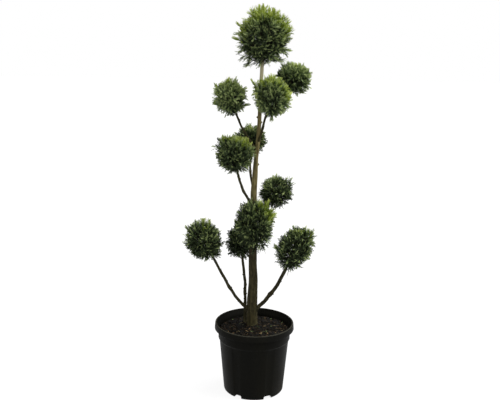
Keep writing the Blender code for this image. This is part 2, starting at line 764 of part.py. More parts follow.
def main():
    """Clears the scene and builds every sub-part."""
    for old in list(bpy.data.objects):
        bpy.data.objects.remove(old)
    limbs = {bough.name: bough_limb(bough) for bough in BOUGHS + (SIDE_STEM,)}
    limbs["trunk"] = trunk_limb()
    build_pot()
    build_soil([limbs["trunk"], limbs["side_stem"]])
    build_trunk()
    for bough in BOUGHS + (SIDE_STEM,):
        build_bough(bough)
    passing = {"foliage_crown": ["trunk"],
               "foliage_centre": ["trunk", "bough_middle_left", "bough_middle_right"]}
    carriers = {bough.mass: bough.name for bough in BOUGHS + (SIDE_STEM,)}
    carriers["foliage_crown"] = "trunk"
    for mass in MASSES:
        build_mass(mass, carriers.get(mass.name), limbs, passing.get(mass.name, []))


main()
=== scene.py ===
"""Looks of the clipped pompon conifer in its nursery pot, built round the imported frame.

Metres, +Z up, with the origin at the centre of the pot's flat underside. The front is the -Y side.
"""

import json
import math
import random
from collections import namedtuple

import bmesh
import bpy
from mathutils import Matrix, Quaternion, Vector, noise

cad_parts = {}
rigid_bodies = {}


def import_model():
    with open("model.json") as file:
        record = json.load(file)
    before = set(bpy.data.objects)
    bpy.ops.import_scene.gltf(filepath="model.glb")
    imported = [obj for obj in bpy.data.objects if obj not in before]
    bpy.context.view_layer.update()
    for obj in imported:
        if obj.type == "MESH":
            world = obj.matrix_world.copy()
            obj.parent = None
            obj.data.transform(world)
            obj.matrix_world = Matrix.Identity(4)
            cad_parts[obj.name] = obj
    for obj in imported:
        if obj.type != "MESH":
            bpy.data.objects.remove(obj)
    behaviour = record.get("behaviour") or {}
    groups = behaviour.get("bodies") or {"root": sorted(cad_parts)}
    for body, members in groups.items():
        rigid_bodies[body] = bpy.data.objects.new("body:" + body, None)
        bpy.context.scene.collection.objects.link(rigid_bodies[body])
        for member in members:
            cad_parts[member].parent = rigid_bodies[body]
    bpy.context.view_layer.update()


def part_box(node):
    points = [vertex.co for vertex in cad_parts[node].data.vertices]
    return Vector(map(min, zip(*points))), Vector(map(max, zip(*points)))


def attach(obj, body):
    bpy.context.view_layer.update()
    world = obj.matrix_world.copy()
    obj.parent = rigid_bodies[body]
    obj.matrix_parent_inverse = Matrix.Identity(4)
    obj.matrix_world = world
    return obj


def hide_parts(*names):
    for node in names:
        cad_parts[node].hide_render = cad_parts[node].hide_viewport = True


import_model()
noise.seed_set(1)  # noise vectors would differ from run to run without it

BODY = "root"
UP = Vector((0.0, 0.0, 1.0))
TINY = 1e-6
SHARP_DEG = 40.0

# Pot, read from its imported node, with the moulding's own sizes
RIM_RADIUS, _, POT_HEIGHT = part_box("pot")[1]
POT_WALL = 0.003
LIP_DROP = 0.028
LIP_ROUND = 0.004
LIP_TAPER = 0.002
FLARE_RADIUS = 0.1745
FLARE_WALL = 0.0025
FLARE_ROUND = 0.002
FLARE_FOOT = 0.300
COLLAR_RADIUS = 0.1665
COLLAR_FOOT = 0.256
COLLAR_STEP = 0.007
STEP_EDGE = 0.0010
STEP_SLOPE = 0.0001
STEP_LIFT = 0.0005
WALL_TOP_RADIUS = 0.1612
WALL_FOOT_RADIUS = 0.1397
FOOT_ROUND = 0.008
POT_SEGMENTS = 240
PROFILE_STEP = 0.012
EDGE_ROUND = 0.0015
POT_SHARP_DEG = 32.0
RECESS_COUNT = 6
RECESS_FIRST_DEG = -62.0
RECESS_WIDTH = 0.040
RECESS_HEIGHT = 0.017
RECESS_DEPTH = 0.030
RECESS_ROUND = 0.006
RECESS_WALL_FOOT = 0.0015
RECESS_CUT_FOOT = -0.01
RECESS_CUT_SHARE = 1.2
PLUG_INSET = 0.0004
FLUTE_WIDTH_DEG = 14.0
FLUTE_DEPTH = 0.0024
FLUTE_TOP = 0.243
FLUTE_POWER = 0.6
FLUTE_FADE_TOP = 0.006
FLUTE_FADE_FOOT = 0.004
FLUTE_MARGIN = 0.0005
DRAIN_SLOT_SIZE = (0.012, 0.020, 0.007)
DRAIN_SLOT_MIDDLE = 0.0075

# Potting soil
SOIL_LEVEL = 0.290
SOIL_MOUND = 0.011
SOIL_MOUND_POWER = 1.6
SOIL_GAP = 0.0004
SOIL_STEP_GAP = 0.0006
SOIL_STEP_RISE = 0.001
SOIL_FOOT = 0.024
SOIL_FOOT_INSET = 0.036
SOIL_FOOT_RISE = 0.012
SOIL_RINGS = 70
SOIL_SEGMENTS = 180
CLOD_HEIGHT, CLOD_SCALE = 0.0045, 34.0
CRUMB_HEIGHT, CRUMB_SCALE = 0.0016, 190.0

# Chips on the soil: name, screen colour, roughness, size and number of forms
CHIPS = (
    ("dark_bark_chip", (13, 11, 8), 0.85, (0.014, 0.008, 0.004), 20),
    ("brown_bark_chip", (46, 36, 23), 0.85, (0.012, 0.007, 0.0034), 10),
    ("pale_wood_chip", (128, 106, 74), 0.8, (0.012, 0.005, 0.0022), 1),
    ("dry_straw", (138, 124, 88), 0.7, (0.026, 0.0016, 0.0012), 1),
    ("green_leaf_scrap", (104, 120, 76), 0.7, (0.013, 0.003, 0.0012), 1),
)
CHIP_FIRST_SEED = 40
CHIP_BEVEL = 0.14
CHIP_CROOK = 0.09
CHIPS_PER_SQUARE_METRE = 12000.0
CHIP_SCATTER_SEED = 11
CHIP_TILT = 0.35
CHIP_SCALES = (0.40, 1.35)
CHIP_GROUND_SHARE = 0.965
CHIP_GROUND_RINGS = 40
CHIP_GROUND_SEGMENTS = 96

# Trunk: height, x, y and radius at its stations, as in the solids
TRUNK_STATIONS = (
    (0.286, -0.0095, 0.032, 0.0280),
    (0.318, -0.0095, 0.032, 0.0258),
    (0.400, -0.0115, 0.029, 0.0246),
    (0.450, -0.0105, 0.027, 0.0236),
    (0.518, -0.0085, 0.024, 0.0214),
    (0.621, -0.0115, 0.020, 0.0190),
    (0.833, -0.0095, 0.015, 0.0152),
    (0.931, -0.0115, 0.012, 0.0142),
    (1.013, -0.0075, 0.010, 0.0124),
    (1.099, -0.0035, 0.010, 0.0105),
    (1.175, 0.0045, 0.010, 0.0098),
    (1.237, 0.0075, 0.010, 0.0092),
    (1.372, 0.0115, 0.010, 0.0085),
    (1.513, 0.0165, 0.010, 0.0074),
    (1.610, 0.021, 0.010, 0.0045),
    (1.665, 0.022, 0.010, 0.0032),
)
# Stubs of pruned boughs: height, direction from +X in degrees and radius
STUBS = (
    (1.062, 0.0, 0.0042),
    (1.250, -10.0, 0.0036),
    (1.272, 185.0, 0.0038),
    (0.412, 262.0, 0.0065),
)
STUB_LENGTH = 0.005
STUB_RISE = Vector((0.94, 0.0, 0.34))
STUB_SHARES = (0.0, 0.45, 0.70, 0.85, 0.96, 1.0)
STUB_SWELLS = (1.7, 1.6, 1.25, 1.0, 0.9, 0.55)
STUB_SIDES = 14
TRUNK_RINGS = 420
TRUNK_SIDES = 56

# Foliage masses: half sizes, the lean of the top to +X and a brightness, which is partly the growth's own
# colour and partly painted shade that darkens the back and low masses. A bulge or a golden patch is an angle
# in the front view, from +X up towards +Z, with how far the space swells or how much the growth turns gold
# and brightens, the brightening partly painted light on the tops.
Mass = namedtuple("Mass", "name centre half_width half_height lean bulges bright gilding")
MASSES = (
    Mass("foliage_crown", (0.021, 0.010, 1.618), 0.122, 0.137, 0.0,
         ((124, -0.09), (152, 0.08), (180, -0.04), (210, 0.13), (250, 0.09),
          (35, 0.06), (62, -0.08), (298, 0.08), (322, -0.01)),
         0.87, ((94, 0.38), (60, 0.10), (25, 0.22), (165, 0.20))),
    Mass("foliage_upper_right", (0.158, 0.070, 1.443), 0.080, 0.073, 0.0,
         ((285, 0.03), (42, -0.16), (95, -0.08), (144, 0.26)),
         0.80, ((80, 0.12),)),
    Mass("foliage_upper_left", (-0.119, -0.040, 1.361), 0.073, 0.084, 0.0,
         ((138, 0.16), (50, -0.08), (10, 0.08), (202, -0.10), (242, 0.08), (325, 0.05)),
         0.96, ((100, 0.14), (35, 0.10), (165, 0.06))),
    Mass("foliage_upper_front", (0.060, -0.100, 1.366), 0.088, 0.094, 0.0,
         ((350, 0.08), (312, -0.24), (156, 0.15), (198, -0.34), (113, 0.18)),
         0.95, ((95, 0.18), (10, 0.18), (50, 0.08), (150, 0.10))),
    Mass("foliage_back", (-0.027, 0.120, 1.158), 0.069, 0.070, 0.0,
         ((138, 0.40), (98, -0.18), (320, -0.05)),
         0.45, ((100, 0.14), (10, 0.12))),
    Mass("foliage_middle_left", (-0.099, -0.080, 1.120), 0.089, 0.087, 0.0,
         ((142, 0.50), (184, -0.34), (100, -0.08), (252, -0.08)),
         0.71, ((50, 0.16), (100, 0.12))),
    Mass("foliage_middle_right", (0.094, 0.100, 0.924), 0.082, 0.077, 0.0,
         ((345, -0.18), (98, -0.08), (132, 0.08), (36, 0.08), (282, 0.10)),
         0.50, ((80, 0.06),)),
    Mass("foliage_centre", (-0.004, -0.020, 0.802), 0.099, 0.122, 0.0,
         ((30, 0.09), (355, -0.18), (150, 0.18), (180, 0.08), (284, 0.20)),
         0.49, ((42, 0.40),)),
    Mass("foliage_low_back", (-0.071, 0.095, 0.680), 0.064, 0.084, 0.0,
         ((122, 0.50), (198, -0.42), (255, 0.18)),
         0.26, ()),
    Mass("foliage_lower_left", (-0.232, -0.020, 0.716), 0.088, 0.095, 0.0,
         ((78, 0.04), (38, -0.15), (166, 0.27), (192, -0.08), (332, 0.16), (246, 0.13)),
         0.45, ((80, 0.10),)),
    Mass("foliage_lower_right", (0.181, -0.020, 0.690), 0.086, 0.107, 0.018,
         ((52, 0.14), (216, 0.42), (352, -0.28), (312, -0.10), (266, 0.20), (124, 0.14)),
         0.55, ((60, 0.12),)),
)
BULGE_SPREAD = 0.15

# Stray shoots that clipping left on the masses: the angle in the front view and how far each reaches
STRAYS = {
    "foliage_crown": ((107, 1.13), (93, 1.10), (164, 1.11), (192, 1.15), (331, 1.14), (243, 1.12)),
    "foliage_upper_right": ((293, 1.20), (8, 1.14)),
    "foliage_upper_left": ((155, 1.16), (327, 1.24), (216, 1.18)),
    "foliage_upper_front": ((153, 1.26), (270, 1.15)),
    "foliage_middle_left": ((200, 1.20),),
    "foliage_middle_right": ((93, 1.14),),
    "foliage_centre": ((47, 1.16),),
    "foliage_lower_left": ((70, 1.18), (98, 1.13), (148, 1.14)),
    "foliage_lower_right": ((29, 1.12), (190, 1.16)),
}

# Boughs: where each leaves the trunk, how steeply it leaves and arrives, its sideways bow and radii
Bough = namedtuple("Bough", "name mass foot_height leave_deg arrive_deg bow root_radius tip_radius")
BOUGHS = (
    Bough("bough_lower_left", "foliage_lower_left", 0.363, 38, 62, 0.0, 0.0078, 0.0058),
    Bough("bough_lower_right", "foliage_lower_right", 0.358, 46, 67, 0.0, 0.0094, 0.0080),
    Bough("bough_middle_left", "foliage_middle_left", 0.862, 56, 75, 0.0, 0.0062, 0.0054),
    Bough("bough_middle_right", "foliage_middle_right", 0.800, 42, 38, 0.0, 0.0058, 0.0048),
    Bough("bough_back", "foliage_back", 0.950, 66, 58, 0.018, 0.0056, 0.0045),
    Bough("bough_upper_left", "foliage_upper_left", 1.130, 49, 68, 0.0, 0.0054, 0.0046),
    Bough("bough_upper_front", "foliage_upper_front", 1.164, 55, 57, 0.0, 0.0056, 0.0048),
    Bough("bough_upper_right", "foliage_upper_right", 1.292, 50, 36, 0.0, 0.0050, 0.0042),
)
SIDE_STEM = Bough("side_stem", "foliage_low_back", 0.286, 88, 76, 0.0, 0.0075, 0.0062)
SIDE_STEM_X = -0.043
SIDE_STEM_Y = 0.062
SIDE_STEM_SWELL = 0.15
BOUGH_HANDLE = 0.36
COLLAR_SWELL = 0.30
COLLAR_LENGTH = 0.08
KNOT_SWELL = 0.22
KNOT_PLACE = 0.52
KNOT_LENGTH = 0.05
ENTRY_SHARE = 0.94
STEM_REACH = 0.20
STEM_SHARES = (0.25, 0.5, 0.75, 1.0)
STEM_TAPER = 0.5
BOUGH_RINGS = 110
BOUGH_SIDES = 28
BUD_COUNT = 9
BUD_PLACES = (25, 105)
BUD_STAND = 0.0022
BUD_RADII = (0.0034, 0.0026, 0.0012)
BUD_SIDES = 8

# Relief of the bark, in shares of a limb's radius, and the small kinks of the boughs
BARK_SCALE = 95.0
BARK_STRETCH = 0.16
RIDGE_SHARE = 0.050
LUMP_SHARE, LUMP_SCALE, LUMP_RISE = 0.045, 1.3, 13.0
RING_SHARE, RING_RISE = 0.012, 120.0
BARK_SINK = 0.02
NODE_SHARE, NODE_RISE, NODE_DRIFT = 0.26, 42.0, 20.0
KINK_SIZE, KINK_SCALE, KINK_EASE = 0.0032, 21.0, 0.12

# Twigs and plumes: places are shares of the way from a mass's centre to the edge of its space
TWIG_COUNT = 10
TWIG_JITTER = 0.16
TWIG_FOOT_SHARE = 0.10
TWIG_TIP_SHARE = 0.44
TWIG_RADII = (0.0026, 0.0021, 0.0016)
UPTURN = 0.20
PLUMES_ON_BRANCHLET = 4
BRANCHLET_JITTER = 0.12
BRANCHLET_TIP_SHARE = 0.60
BRANCHLET_TUFT = 0.072
BRANCHLET_GLOW = 0.05
BRANCHLET_RADII = (0.0015, 0.0010)
PLUME_SPACING = 0.0292
PLUME_JITTER = 0.07
PLUME_GATHER = 0.3
PLUME_START = 0.2
PLUME_FOOT_SHARE = 0.56
PLUME_REACH_SHARE = 0.990
PLUME_RAGGED = 0.080
PLUME_GLOW = 0.21
PLUME_WANDER = 0.28
PLUME_UPTURN = 0.12
PLUME_REACH_LIMIT = 1.15
PLUME_TIP_ROOM = 0.80
PLUME_RADII = (0.0010, 0.0008, 0.0005)
SPRAYS_ON_PLUME = 11
SPRAY_LENGTH = 0.034
SPRAY_LENGTH_FOOT = 1.16
SPRAY_LENGTH_FALL = 0.44
SPRAY_LENGTH_VARIETY = (0.70, 1.20)
SPRAY_GLOW = 0.37
SPRAY_WANDER = 0.45
SPRAY_UPTURN = 0.20
SPRAY_TURN = 1.2
FOOT_SWING_DEG = (32.0, 68.0)
TIP_SWING_DEG = (2.0, 12.0)
INNER_SPRAYS_ON_PLUME = 3.4
INNER_JITTER = 0.2
INNER_SHARES = (0.34, 0.58)
INNER_OUTWARD = 0.5
INNER_LENGTH = 1.5
# Painted shade: how far the tone of the inner sprays is lowered
INNER_PAINTED_SHADE = -0.4
STRAY_FOOT_SHARE = 0.70
STRAY_START_DROP = 0.10
STRAY_SPREAD = 0.25
STRAY_GLOW = 0.10
LIMB_CLEARANCE = 0.002
CLOSE_LIMB_SHARE = 1.2
NEIGHBOUR_DISTANCE = 0.30
TRUNK_CHECK_RINGS = 60
BOUGH_CHECK_RINGS = 20

# Form of one spray, one unit long: leaflets on both sides of a slim axis that droops
SPRAY_FORMS = 5
SPRAY_FIRST_SEED = 70
SPRAY_LEAFLETS = 9
SPRAY_DROOP = 0.10
STALK_FOOT, STALK_TOP, STALK_WIDTH, STALK_LIFT = -0.04, 0.62, 0.060, 0.020
TIP_FOOT, TIP_WIDTH = 0.50, 0.085
LEAFLET_FROM = 0.12
LEAFLET_SPAN = 0.74
LEAFLET_SHIFT = 0.015
LEAFLET_TIP_LENGTH = 0.12
LEAFLET_MORE_LENGTH = 0.25
LEAFLET_POWER = 0.6
LEAFLET_VARIETY = (0.85, 1.15)
LEAFLET_DEG = (15.0, 27.0)
LEAFLET_BEND = 0.14
LEAFLET_WIDTH = 0.074
LEAFLET_LIFT = 0.022
LEAFLET_BELLY = 0.45
FRESH_FROM = 0.38
FRESHEST_FROM = 0.68

# Brightness of a spray: painted shade inside, tips brighter as fresh growth and partly as painted light, more
# painted light on the lit side, and gold growth in the golden patches, whose brightening is partly painted
# light
LIGHT_SIDE = Vector((0.42, 0.10, 0.90))
LIT_GLOW = 0.25
OUTER_FROM = 0.72
OUTER_OVER = 0.30
INNER_BRIGHT, OUTER_BRIGHT = 0.30, 0.90
INNER_LIT, OUTER_LIT = 0.3, 0.7
SHADE_STEPS = 6.0
SHADES_ADDED_FRESH = 2
GILT_FROM = 0.04
GILT_RISE = 7.0
GILT_MIXED = 0.08

# Colours of the sprays, lit and shaded copies from painted shade to tips that are fresh growth and painted
# light, first green and then gold: name, screen colour, roughness
LEAF_COLOURS = (
    ("green_in_shade", (14, 20, 5), 0.75),
    ("deep_green", (38, 48, 27), 0.70),
    ("mid_green", (63, 77, 47), 0.65),
    ("fresh_green", (95, 112, 72), 0.60),
    ("grey_green_tip", (138, 156, 98), 0.60),
    ("pale_green_tip", (184, 199, 132), 0.60),
    ("gilt_in_shade", (38, 50, 16), 0.70),
    ("deep_gilt_green", (66, 84, 28), 0.65),
    ("gilt_green", (98, 119, 38), 0.60),
    ("lime_green", (132, 152, 52), 0.60),
    ("gold_green", (166, 184, 74), 0.60),
    ("pale_gold_tip", (200, 213, 112), 0.60),
)

# The photograph's camera: distance, height, tilt down, roll and focal length in pixels of its frame
PHOTO_WIDTH = 500
CAMERA_X = -0.0281
CAMERA_DISTANCE = 3.0
CAMERA_HEIGHT = 1.5433
CAMERA_PITCH_DEG = 12.0
CAMERA_ROLL_DEG = 0.81
CAMERA_FOCAL_PIXELS = 684.3
SENSOR_WIDTH_MM = 36.0

# The studio
WHITE = (1.0, 1.0, 1.0, 1.0)
FLOOR_SIZE = 40.0
SUN_POWER = 2.7
SUN_SPREAD_DEG = 50.0
SUN_SIDE = Vector((0.55, 0.12, 1.0))
SKY_LIGHT = {"From Min": -0.25, "From Max": 0.70, "To Min": 0.10, "To Max": 0.52}

# Soft square lights: name, place, the spot that each points at, power and size
AREA_LIGHTS = (
    ("side_light", (2.6, -1.2, 2.2), (0.05, 0.0, 0.9), 26.0, 1.4),
    ("front_fill", (-1.6, -3.4, 1.8), (0.0, 0.0, 0.8), 30.0, 2.0),
)


def unit(vector):
    """The direction of a vector."""
    return Vector(vector).normalized()


def paint(red, green, blue):
    """A linear colour from the 0 to 255 values that a screen shows."""
    shares = [part / 255.0 for part in (red, green, blue)]
    return tuple(s / 12.92 if s <= 0.04045 else ((s + 0.055) / 1.055) ** 2.4 for s in shares) + (1.0,)


def drawn(draw, reach):
    """A vector whose parts are drawn between minus and plus a reach."""
    return Vector([draw.uniform(-reach, reach) for _ in range(3)])


class Tone:
    """A value in a node tree. Arithmetic on it adds Math nodes."""

    def __init__(self, nodes, socket):
        self.nodes = nodes
        self.socket = socket

    def math(self, operation, first, second):
        return self.nodes.node("ShaderNodeMath", {"operation": operation}, {0: first, 1: second})

    def step(self, low, high):
        """0 below low, 1 above high, and smooth between."""
        return self.nodes.node("ShaderNodeMapRange", {"interpolation_type": "SMOOTHSTEP"},
                               {"Value": self, "From Min": low, "From Max": high})


for sign, kind in (("add", "ADD"), ("sub", "SUBTRACT"), ("mul", "MULTIPLY")):
    setattr(Tone, "__%s__" % sign, lambda self, other, kind=kind: self.math(kind, self, other))
    setattr(Tone, "__r%s__" % sign, lambda self, other, kind=kind: self.math(kind, other, self))


class Nodes:
    """A node tree that is built node by node."""

    def __init__(self, tree):
        self.tree = tree

    def feed(self, socket, value):
        """Links a tone to a socket, or sets the socket's own value."""
        if isinstance(value, Tone):
            self.tree.links.new(value.socket, socket)
        else:
            socket.default_value = value

    def node(self, kind, settings=None, values=None, output=0):
        """Adds one node: its settings first, then the values or links of its sockets."""
        made = self.tree.nodes.new(kind)
        for key, value in (settings or {}).items():
            if key == "stops":
                ramp = made.color_ramp
                while len(ramp.elements) < len(value):
                    ramp.elements.new(0.5)
                for element, (place, colour) in zip(ramp.elements, value):
                    element.position = place
                    element.color = colour
            else:
                setattr(made, key, value)
        for key, value in (values or {}).items():
            self.feed(made.inputs[key], value)
        return Tone(self, made.outputs[output])


class Finish(Nodes):
    """A material whose colour, roughness and relief are worked out by nodes on Object coordinates."""

    def __init__(self, name, roughness=0.6):
        self.material = bpy.data.materials.new(name)
        self.material.use_nodes = True
        super().__init__(self.material.node_tree)
        self.shader = self.tree.nodes["Principled BSDF"]
        self.set("Roughness", roughness)

    def set(self, socket, value):
        """Sets or links one of the shader's sockets."""
        self.feed(self.shader.inputs[socket], value)

    def height(self):
        """The height above the pot's underside."""
        here = self.node("ShaderNodeTexCoord", output="Object")
        return self.node("ShaderNodeSeparateXYZ", values={"Vector": here}, output="Z")

    def noise(self, scale, detail, stretch=(1.0, 1.0, 1.0), rough=0.55):
        """Cloudy noise from 0 to 1 on stretched Object coordinates."""
        here = self.node("ShaderNodeTexCoord", output="Object")
        place = self.node("ShaderNodeMapping", values={"Vector": here, "Scale": stretch})
        return self.node("ShaderNodeTexNoise", values={
            "Vector": place, "Scale": scale, "Detail": detail, "Roughness": rough})

    def ramp(self, value, stops):
        """A colour ramp over a value."""
        return self.node("ShaderNodeValToRGB", {"stops": stops}, {"Fac": value})

    def mix(self, share, first, second):
        """One colour over another."""
        return self.node("ShaderNodeMix", {"data_type": "RGBA"}, {0: share, 6: first, 7: second}, 2)

    def relief(self, height, distance, strength):
        """Bump from a height between 0 and 1."""
        self.set("Normal", self.node("ShaderNodeBump", values={
            "Height": height, "Distance": distance, "Strength": strength}))


def pot_plastic():
    """Black moulded plastic with dust, faint scuffs, a finely grained skin and a painted highlight along the
    lip's crest.
    """
    finish = Finish("black_pot_plastic")
    dust = finish.noise(9.0, 5.0, (1.0, 1.0, 0.6)).step(0.42, 0.78)
    scuff = finish.noise(60.0, 4.0, (1.0, 1.0, 0.18)).step(0.60, 0.80)
    splash = 1.0 - finish.height().step(0.0, 0.09)
    colour = finish.mix(dust * 0.5, paint(21, 21, 18), paint(32, 31, 25))
    colour = finish.mix(scuff * 0.25, colour, paint(46, 44, 37))
    colour = finish.mix(splash * dust * 0.6, colour, paint(42, 39, 31))
    # Painted highlight: a pale band along the top of the lip, broken up by noise
    painted_crest_highlight = finish.height().step(0.3250, 0.3300) * (0.5 + 0.5 * finish.noise(70.0, 3.0).step(0.25, 0.60))
    finish.set("Base Color", finish.mix(painted_crest_highlight * 0.85, colour, paint(84, 82, 71)))
    finish.set("Roughness", 0.46 + dust * 0.20 + scuff * 0.10)
    finish.set("Specular IOR Level", 0.035)
    finish.relief(finish.noise(900.0, 2.0) * 0.5 + scuff * 0.5, 0.00025, 0.35)
    return finish.material


def soil_crumb():
    """Damp, dark potting soil."""
    finish = Finish("damp_potting_soil", 0.92)
    clod = finish.noise(45.0, 6.0, rough=0.7)
    fleck = finish.noise(260.0, 3.0).step(0.62, 0.72)
    stops = ((0.32, paint(4, 3, 2)), (0.50, paint(15, 12, 7)), (0.78, paint(46, 36, 20)))
    colour = finish.ramp(clod, stops)
    finish.set("Base Color", finish.mix(fleck * 0.5, colour, paint(86, 74, 48)))
    finish.set("Specular IOR Level", 0.08)
    finish.relief(finish.noise(420.0, 5.0, rough=0.7), 0.0016, 1.0)
    return finish.material


def bark(name, foot_colours, top_colours, low, high, crest=0.0):
    """Olive brown bark that turns paler between two heights, with fine long cracks and lichen spots."""
    finish = Finish(name, 0.82)
    streak = finish.noise(150.0, 5.0, (1.0, 1.0, 0.13), 0.65)
    blotch = finish.noise(28.0, 4.0)
    lichen = finish.noise(95.0, 3.0).step(0.66, 0.74)
    paler = (finish.height() + (blotch - 0.5) * 0.25).step(low, high)
    dark = finish.mix(paler, foot_colours[0], top_colours[0])
    light = finish.mix(paler, foot_colours[1], top_colours[1])
    colour = finish.mix(streak.step(0.33, 0.68), dark, light)
    colour = finish.mix(blotch.step(0.50, 0.80) * 0.35, colour, paint(108, 106, 78))
    upper = (finish.height() + (blotch - 0.5) * 0.12).step(1.30, 1.46)
    colour = finish.mix(upper * crest, colour, paint(212, 204, 168))
    finish.set("Base Color", finish.mix(lichen * 0.25, colour, paint(134, 136, 98)))
    finish.set("Specular IOR Level", 0.12)
    finish.relief(streak, 0.0012, 0.9)
    return finish.material


def plain(name, colour, roughness):
    """One plain screen colour, for parts too small to carry a pattern."""
    finish = Finish(name, roughness)
    finish.set("Base Color", paint(*colour))
    finish.set("Specular IOR Level", 0.20)
    return finish.material


def add_object(name, data):
    """An object in the scene."""
    made = bpy.data.objects.new(name, data)
    bpy.context.scene.collection.objects.link(made)
    return made


def add_piece(name, vertices, faces, material, smooth=True):
    """A mesh piece at the origin."""
    mesh = bpy.data.meshes.new(name)
    mesh.from_pydata(vertices, [], faces)
    mesh.materials.append(material)
    mesh.update()
    made = add_object(name, mesh)
    if smooth:
        mesh.shade_smooth()
        mesh.set_sharp_from_angle(angle=math.radians(SHARP_DEG))
    return made


def mesh_of(shape, name):
    """A mesh from a bmesh, which is then freed."""
    mesh = bpy.data.meshes.new(name)
    shape.to_mesh(mesh)
    shape.free()
    return mesh


def remove_piece(made):
    """Removes a mesh object and its mesh."""
    mesh = made.data
    bpy.data.objects.remove(made)
    bpy.data.meshes.remove(mesh)


def add_collection(name, members):
    """A collection of forms that a tree scatters."""
    made = bpy.data.collections.new(name)
    bpy.context.scene.collection.children.link(made)
    for member in members:
        made.objects.link(member)
    return made


def remove_collection(collection):
    """Removes a collection and its forms."""
    for form in list(collection.objects):
        bpy.data.objects.remove(form)
    bpy.data.collections.remove(collection)


def settle(piece, slot, *nodes):
    """Rides a piece on the plant's one body and hides the nodes that it stands for. The slot is not used."""
    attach(piece, BODY)
    if nodes:
        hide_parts(*nodes)


def evaluated_piece(made, name):
    """A plain mesh object from an object with live modifiers, which is then removed."""
    depsgraph = bpy.context.evaluated_depsgraph_get()
    mesh = bpy.data.meshes.new_from_object(made.evaluated_get(depsgraph))
    remove_piece(made)
    mesh.name = name
    return add_object(name, mesh)


def arc(centre, radius, start_deg, end_deg, steps):
    """Points of an arc in the turning plane, both ends included."""
    points = []
    for step in range(steps + 1):
        angle = math.radians(start_deg + (end_deg - start_deg) * step / steps)
        points.append((centre[0] + radius * math.cos(angle), centre[1] + radius * math.sin(angle)))
    return points


def subdivided(profile, longest):
    """A profile with no step longer than a length."""
    points = [profile[0]]
    for (r0, z0), (r1, z1) in zip(profile, profile[1:]):
        steps = max(1, math.ceil(math.hypot(r1 - r0, z1 - z0) / longest))
        points += [(r0 + (r1 - r0) * k / steps, z0 + (z1 - z0) * k / steps) for k in range(1, steps + 1)]
    return points


def turned(profile, segments, shift=None):
    """Vertices and faces of an open profile, whose ends lie on the axis, turned into a closed body."""
    vertices = []
    rings = []
    for radius, height in profile:
        count = 1 if radius < TINY else segments
        rings.append(range(len(vertices), len(vertices) + count))
        for step in range(count):
            angle = 2.0 * math.pi * step / segments
            reach = radius + (shift(angle, radius, height) if shift and count > 1 else 0.0)
            vertices.append((reach * math.cos(angle), reach * math.sin(angle), height))
    faces = []
    for lower, upper in zip(rings, rings[1:]):
        for step in range(segments):
            after = (step + 1) % segments
            corners = (lower[step % len(lower)], lower[after % len(lower)],
                       upper[after % len(upper)], upper[step % len(upper)])
            faces.append(tuple(dict.fromkeys(corners)))
    return vertices, faces


def recess_turns(size):
    """The turns about the pot's axis that take a recess to its places, as matrices of a size."""
    for index in range(RECESS_COUNT):
        yield Matrix.Rotation(math.radians(RECESS_FIRST_DEG + index * 360 / RECESS_COUNT), size, "Z")


def recess_blocks(grow, outer_end, foot):
    """The drainage recesses as arched blocks that point to the pot's axis, grown on every side."""
    half = RECESS_WIDTH / 2 + grow
    top = RECESS_HEIGHT + grow
    corner = RECESS_ROUND + grow
    outline = [(half, foot)] + arc((half - corner, top - corner), corner, 0, 90, 6)
    outline += arc((corner - half, top - corner), corner, 90, 180, 6) + [(-half, foot)]
    inner_end = WALL_FOOT_RADIUS - RECESS_DEPTH - grow
    vertices = []
    faces = []
    for turn in recess_turns(3):
        start = len(vertices)
        count = len(outline)
        vertices += [turn @ Vector((end, y, z)) for end in (inner_end, outer_end) for y, z in outline]
        faces.append(tuple(range(start, start + count))[::-1])
        faces.append(tuple(range(start + count, start + 2 * count)))
        for step in range(count):
            after = (step + 1) % count
            faces.append((start + step, start + after, start + count + after, start + count + step))
    return vertices, faces


def combined(made, others, operation):
    """Applies one Boolean between an object and others, which are then removed."""
    for other in others:
        modifier = made.modifiers.new("combine", "BOOLEAN")
        modifier.operation = operation
        modifier.object = other
    piece = evaluated_piece(made, made.name)
    for other in others:
        remove_piece(other)
    return piece


def face_out(piece):
    """Merges doubles and turns all faces of a closed mesh outwards."""
    shape = bmesh.new()
    shape.from_mesh(piece.data)
    bmesh.ops.remove_doubles(shape, verts=shape.verts, dist=TINY)
    bmesh.ops.recalc_face_normals(shape, faces=shape.faces)
    shape.to_mesh(piece.data)
    shape.free()


def flute(angle, radius, height):
    """How far the outer wall is pressed in over each recess."""
    if height > FLUTE_TOP or height < RECESS_HEIGHT or radius < WALL_FOOT_RADIUS - FLUTE_MARGIN:
        return 0.0
    apart = 360.0 / RECESS_COUNT
    degrees = (math.degrees(angle) - RECESS_FIRST_DEG + apart / 2) % apart - apart / 2
    across = max(0.0, 1.0 - (2.0 * degrees / FLUTE_WIDTH_DEG) ** 2)
    top_fade = min(1.0, (FLUTE_TOP - height) / FLUTE_FADE_TOP)
    foot_fade = min(1.0, (height - RECESS_HEIGHT) / FLUTE_FADE_FOOT)
    return -FLUTE_DEPTH * across ** FLUTE_POWER * top_fade * foot_fade


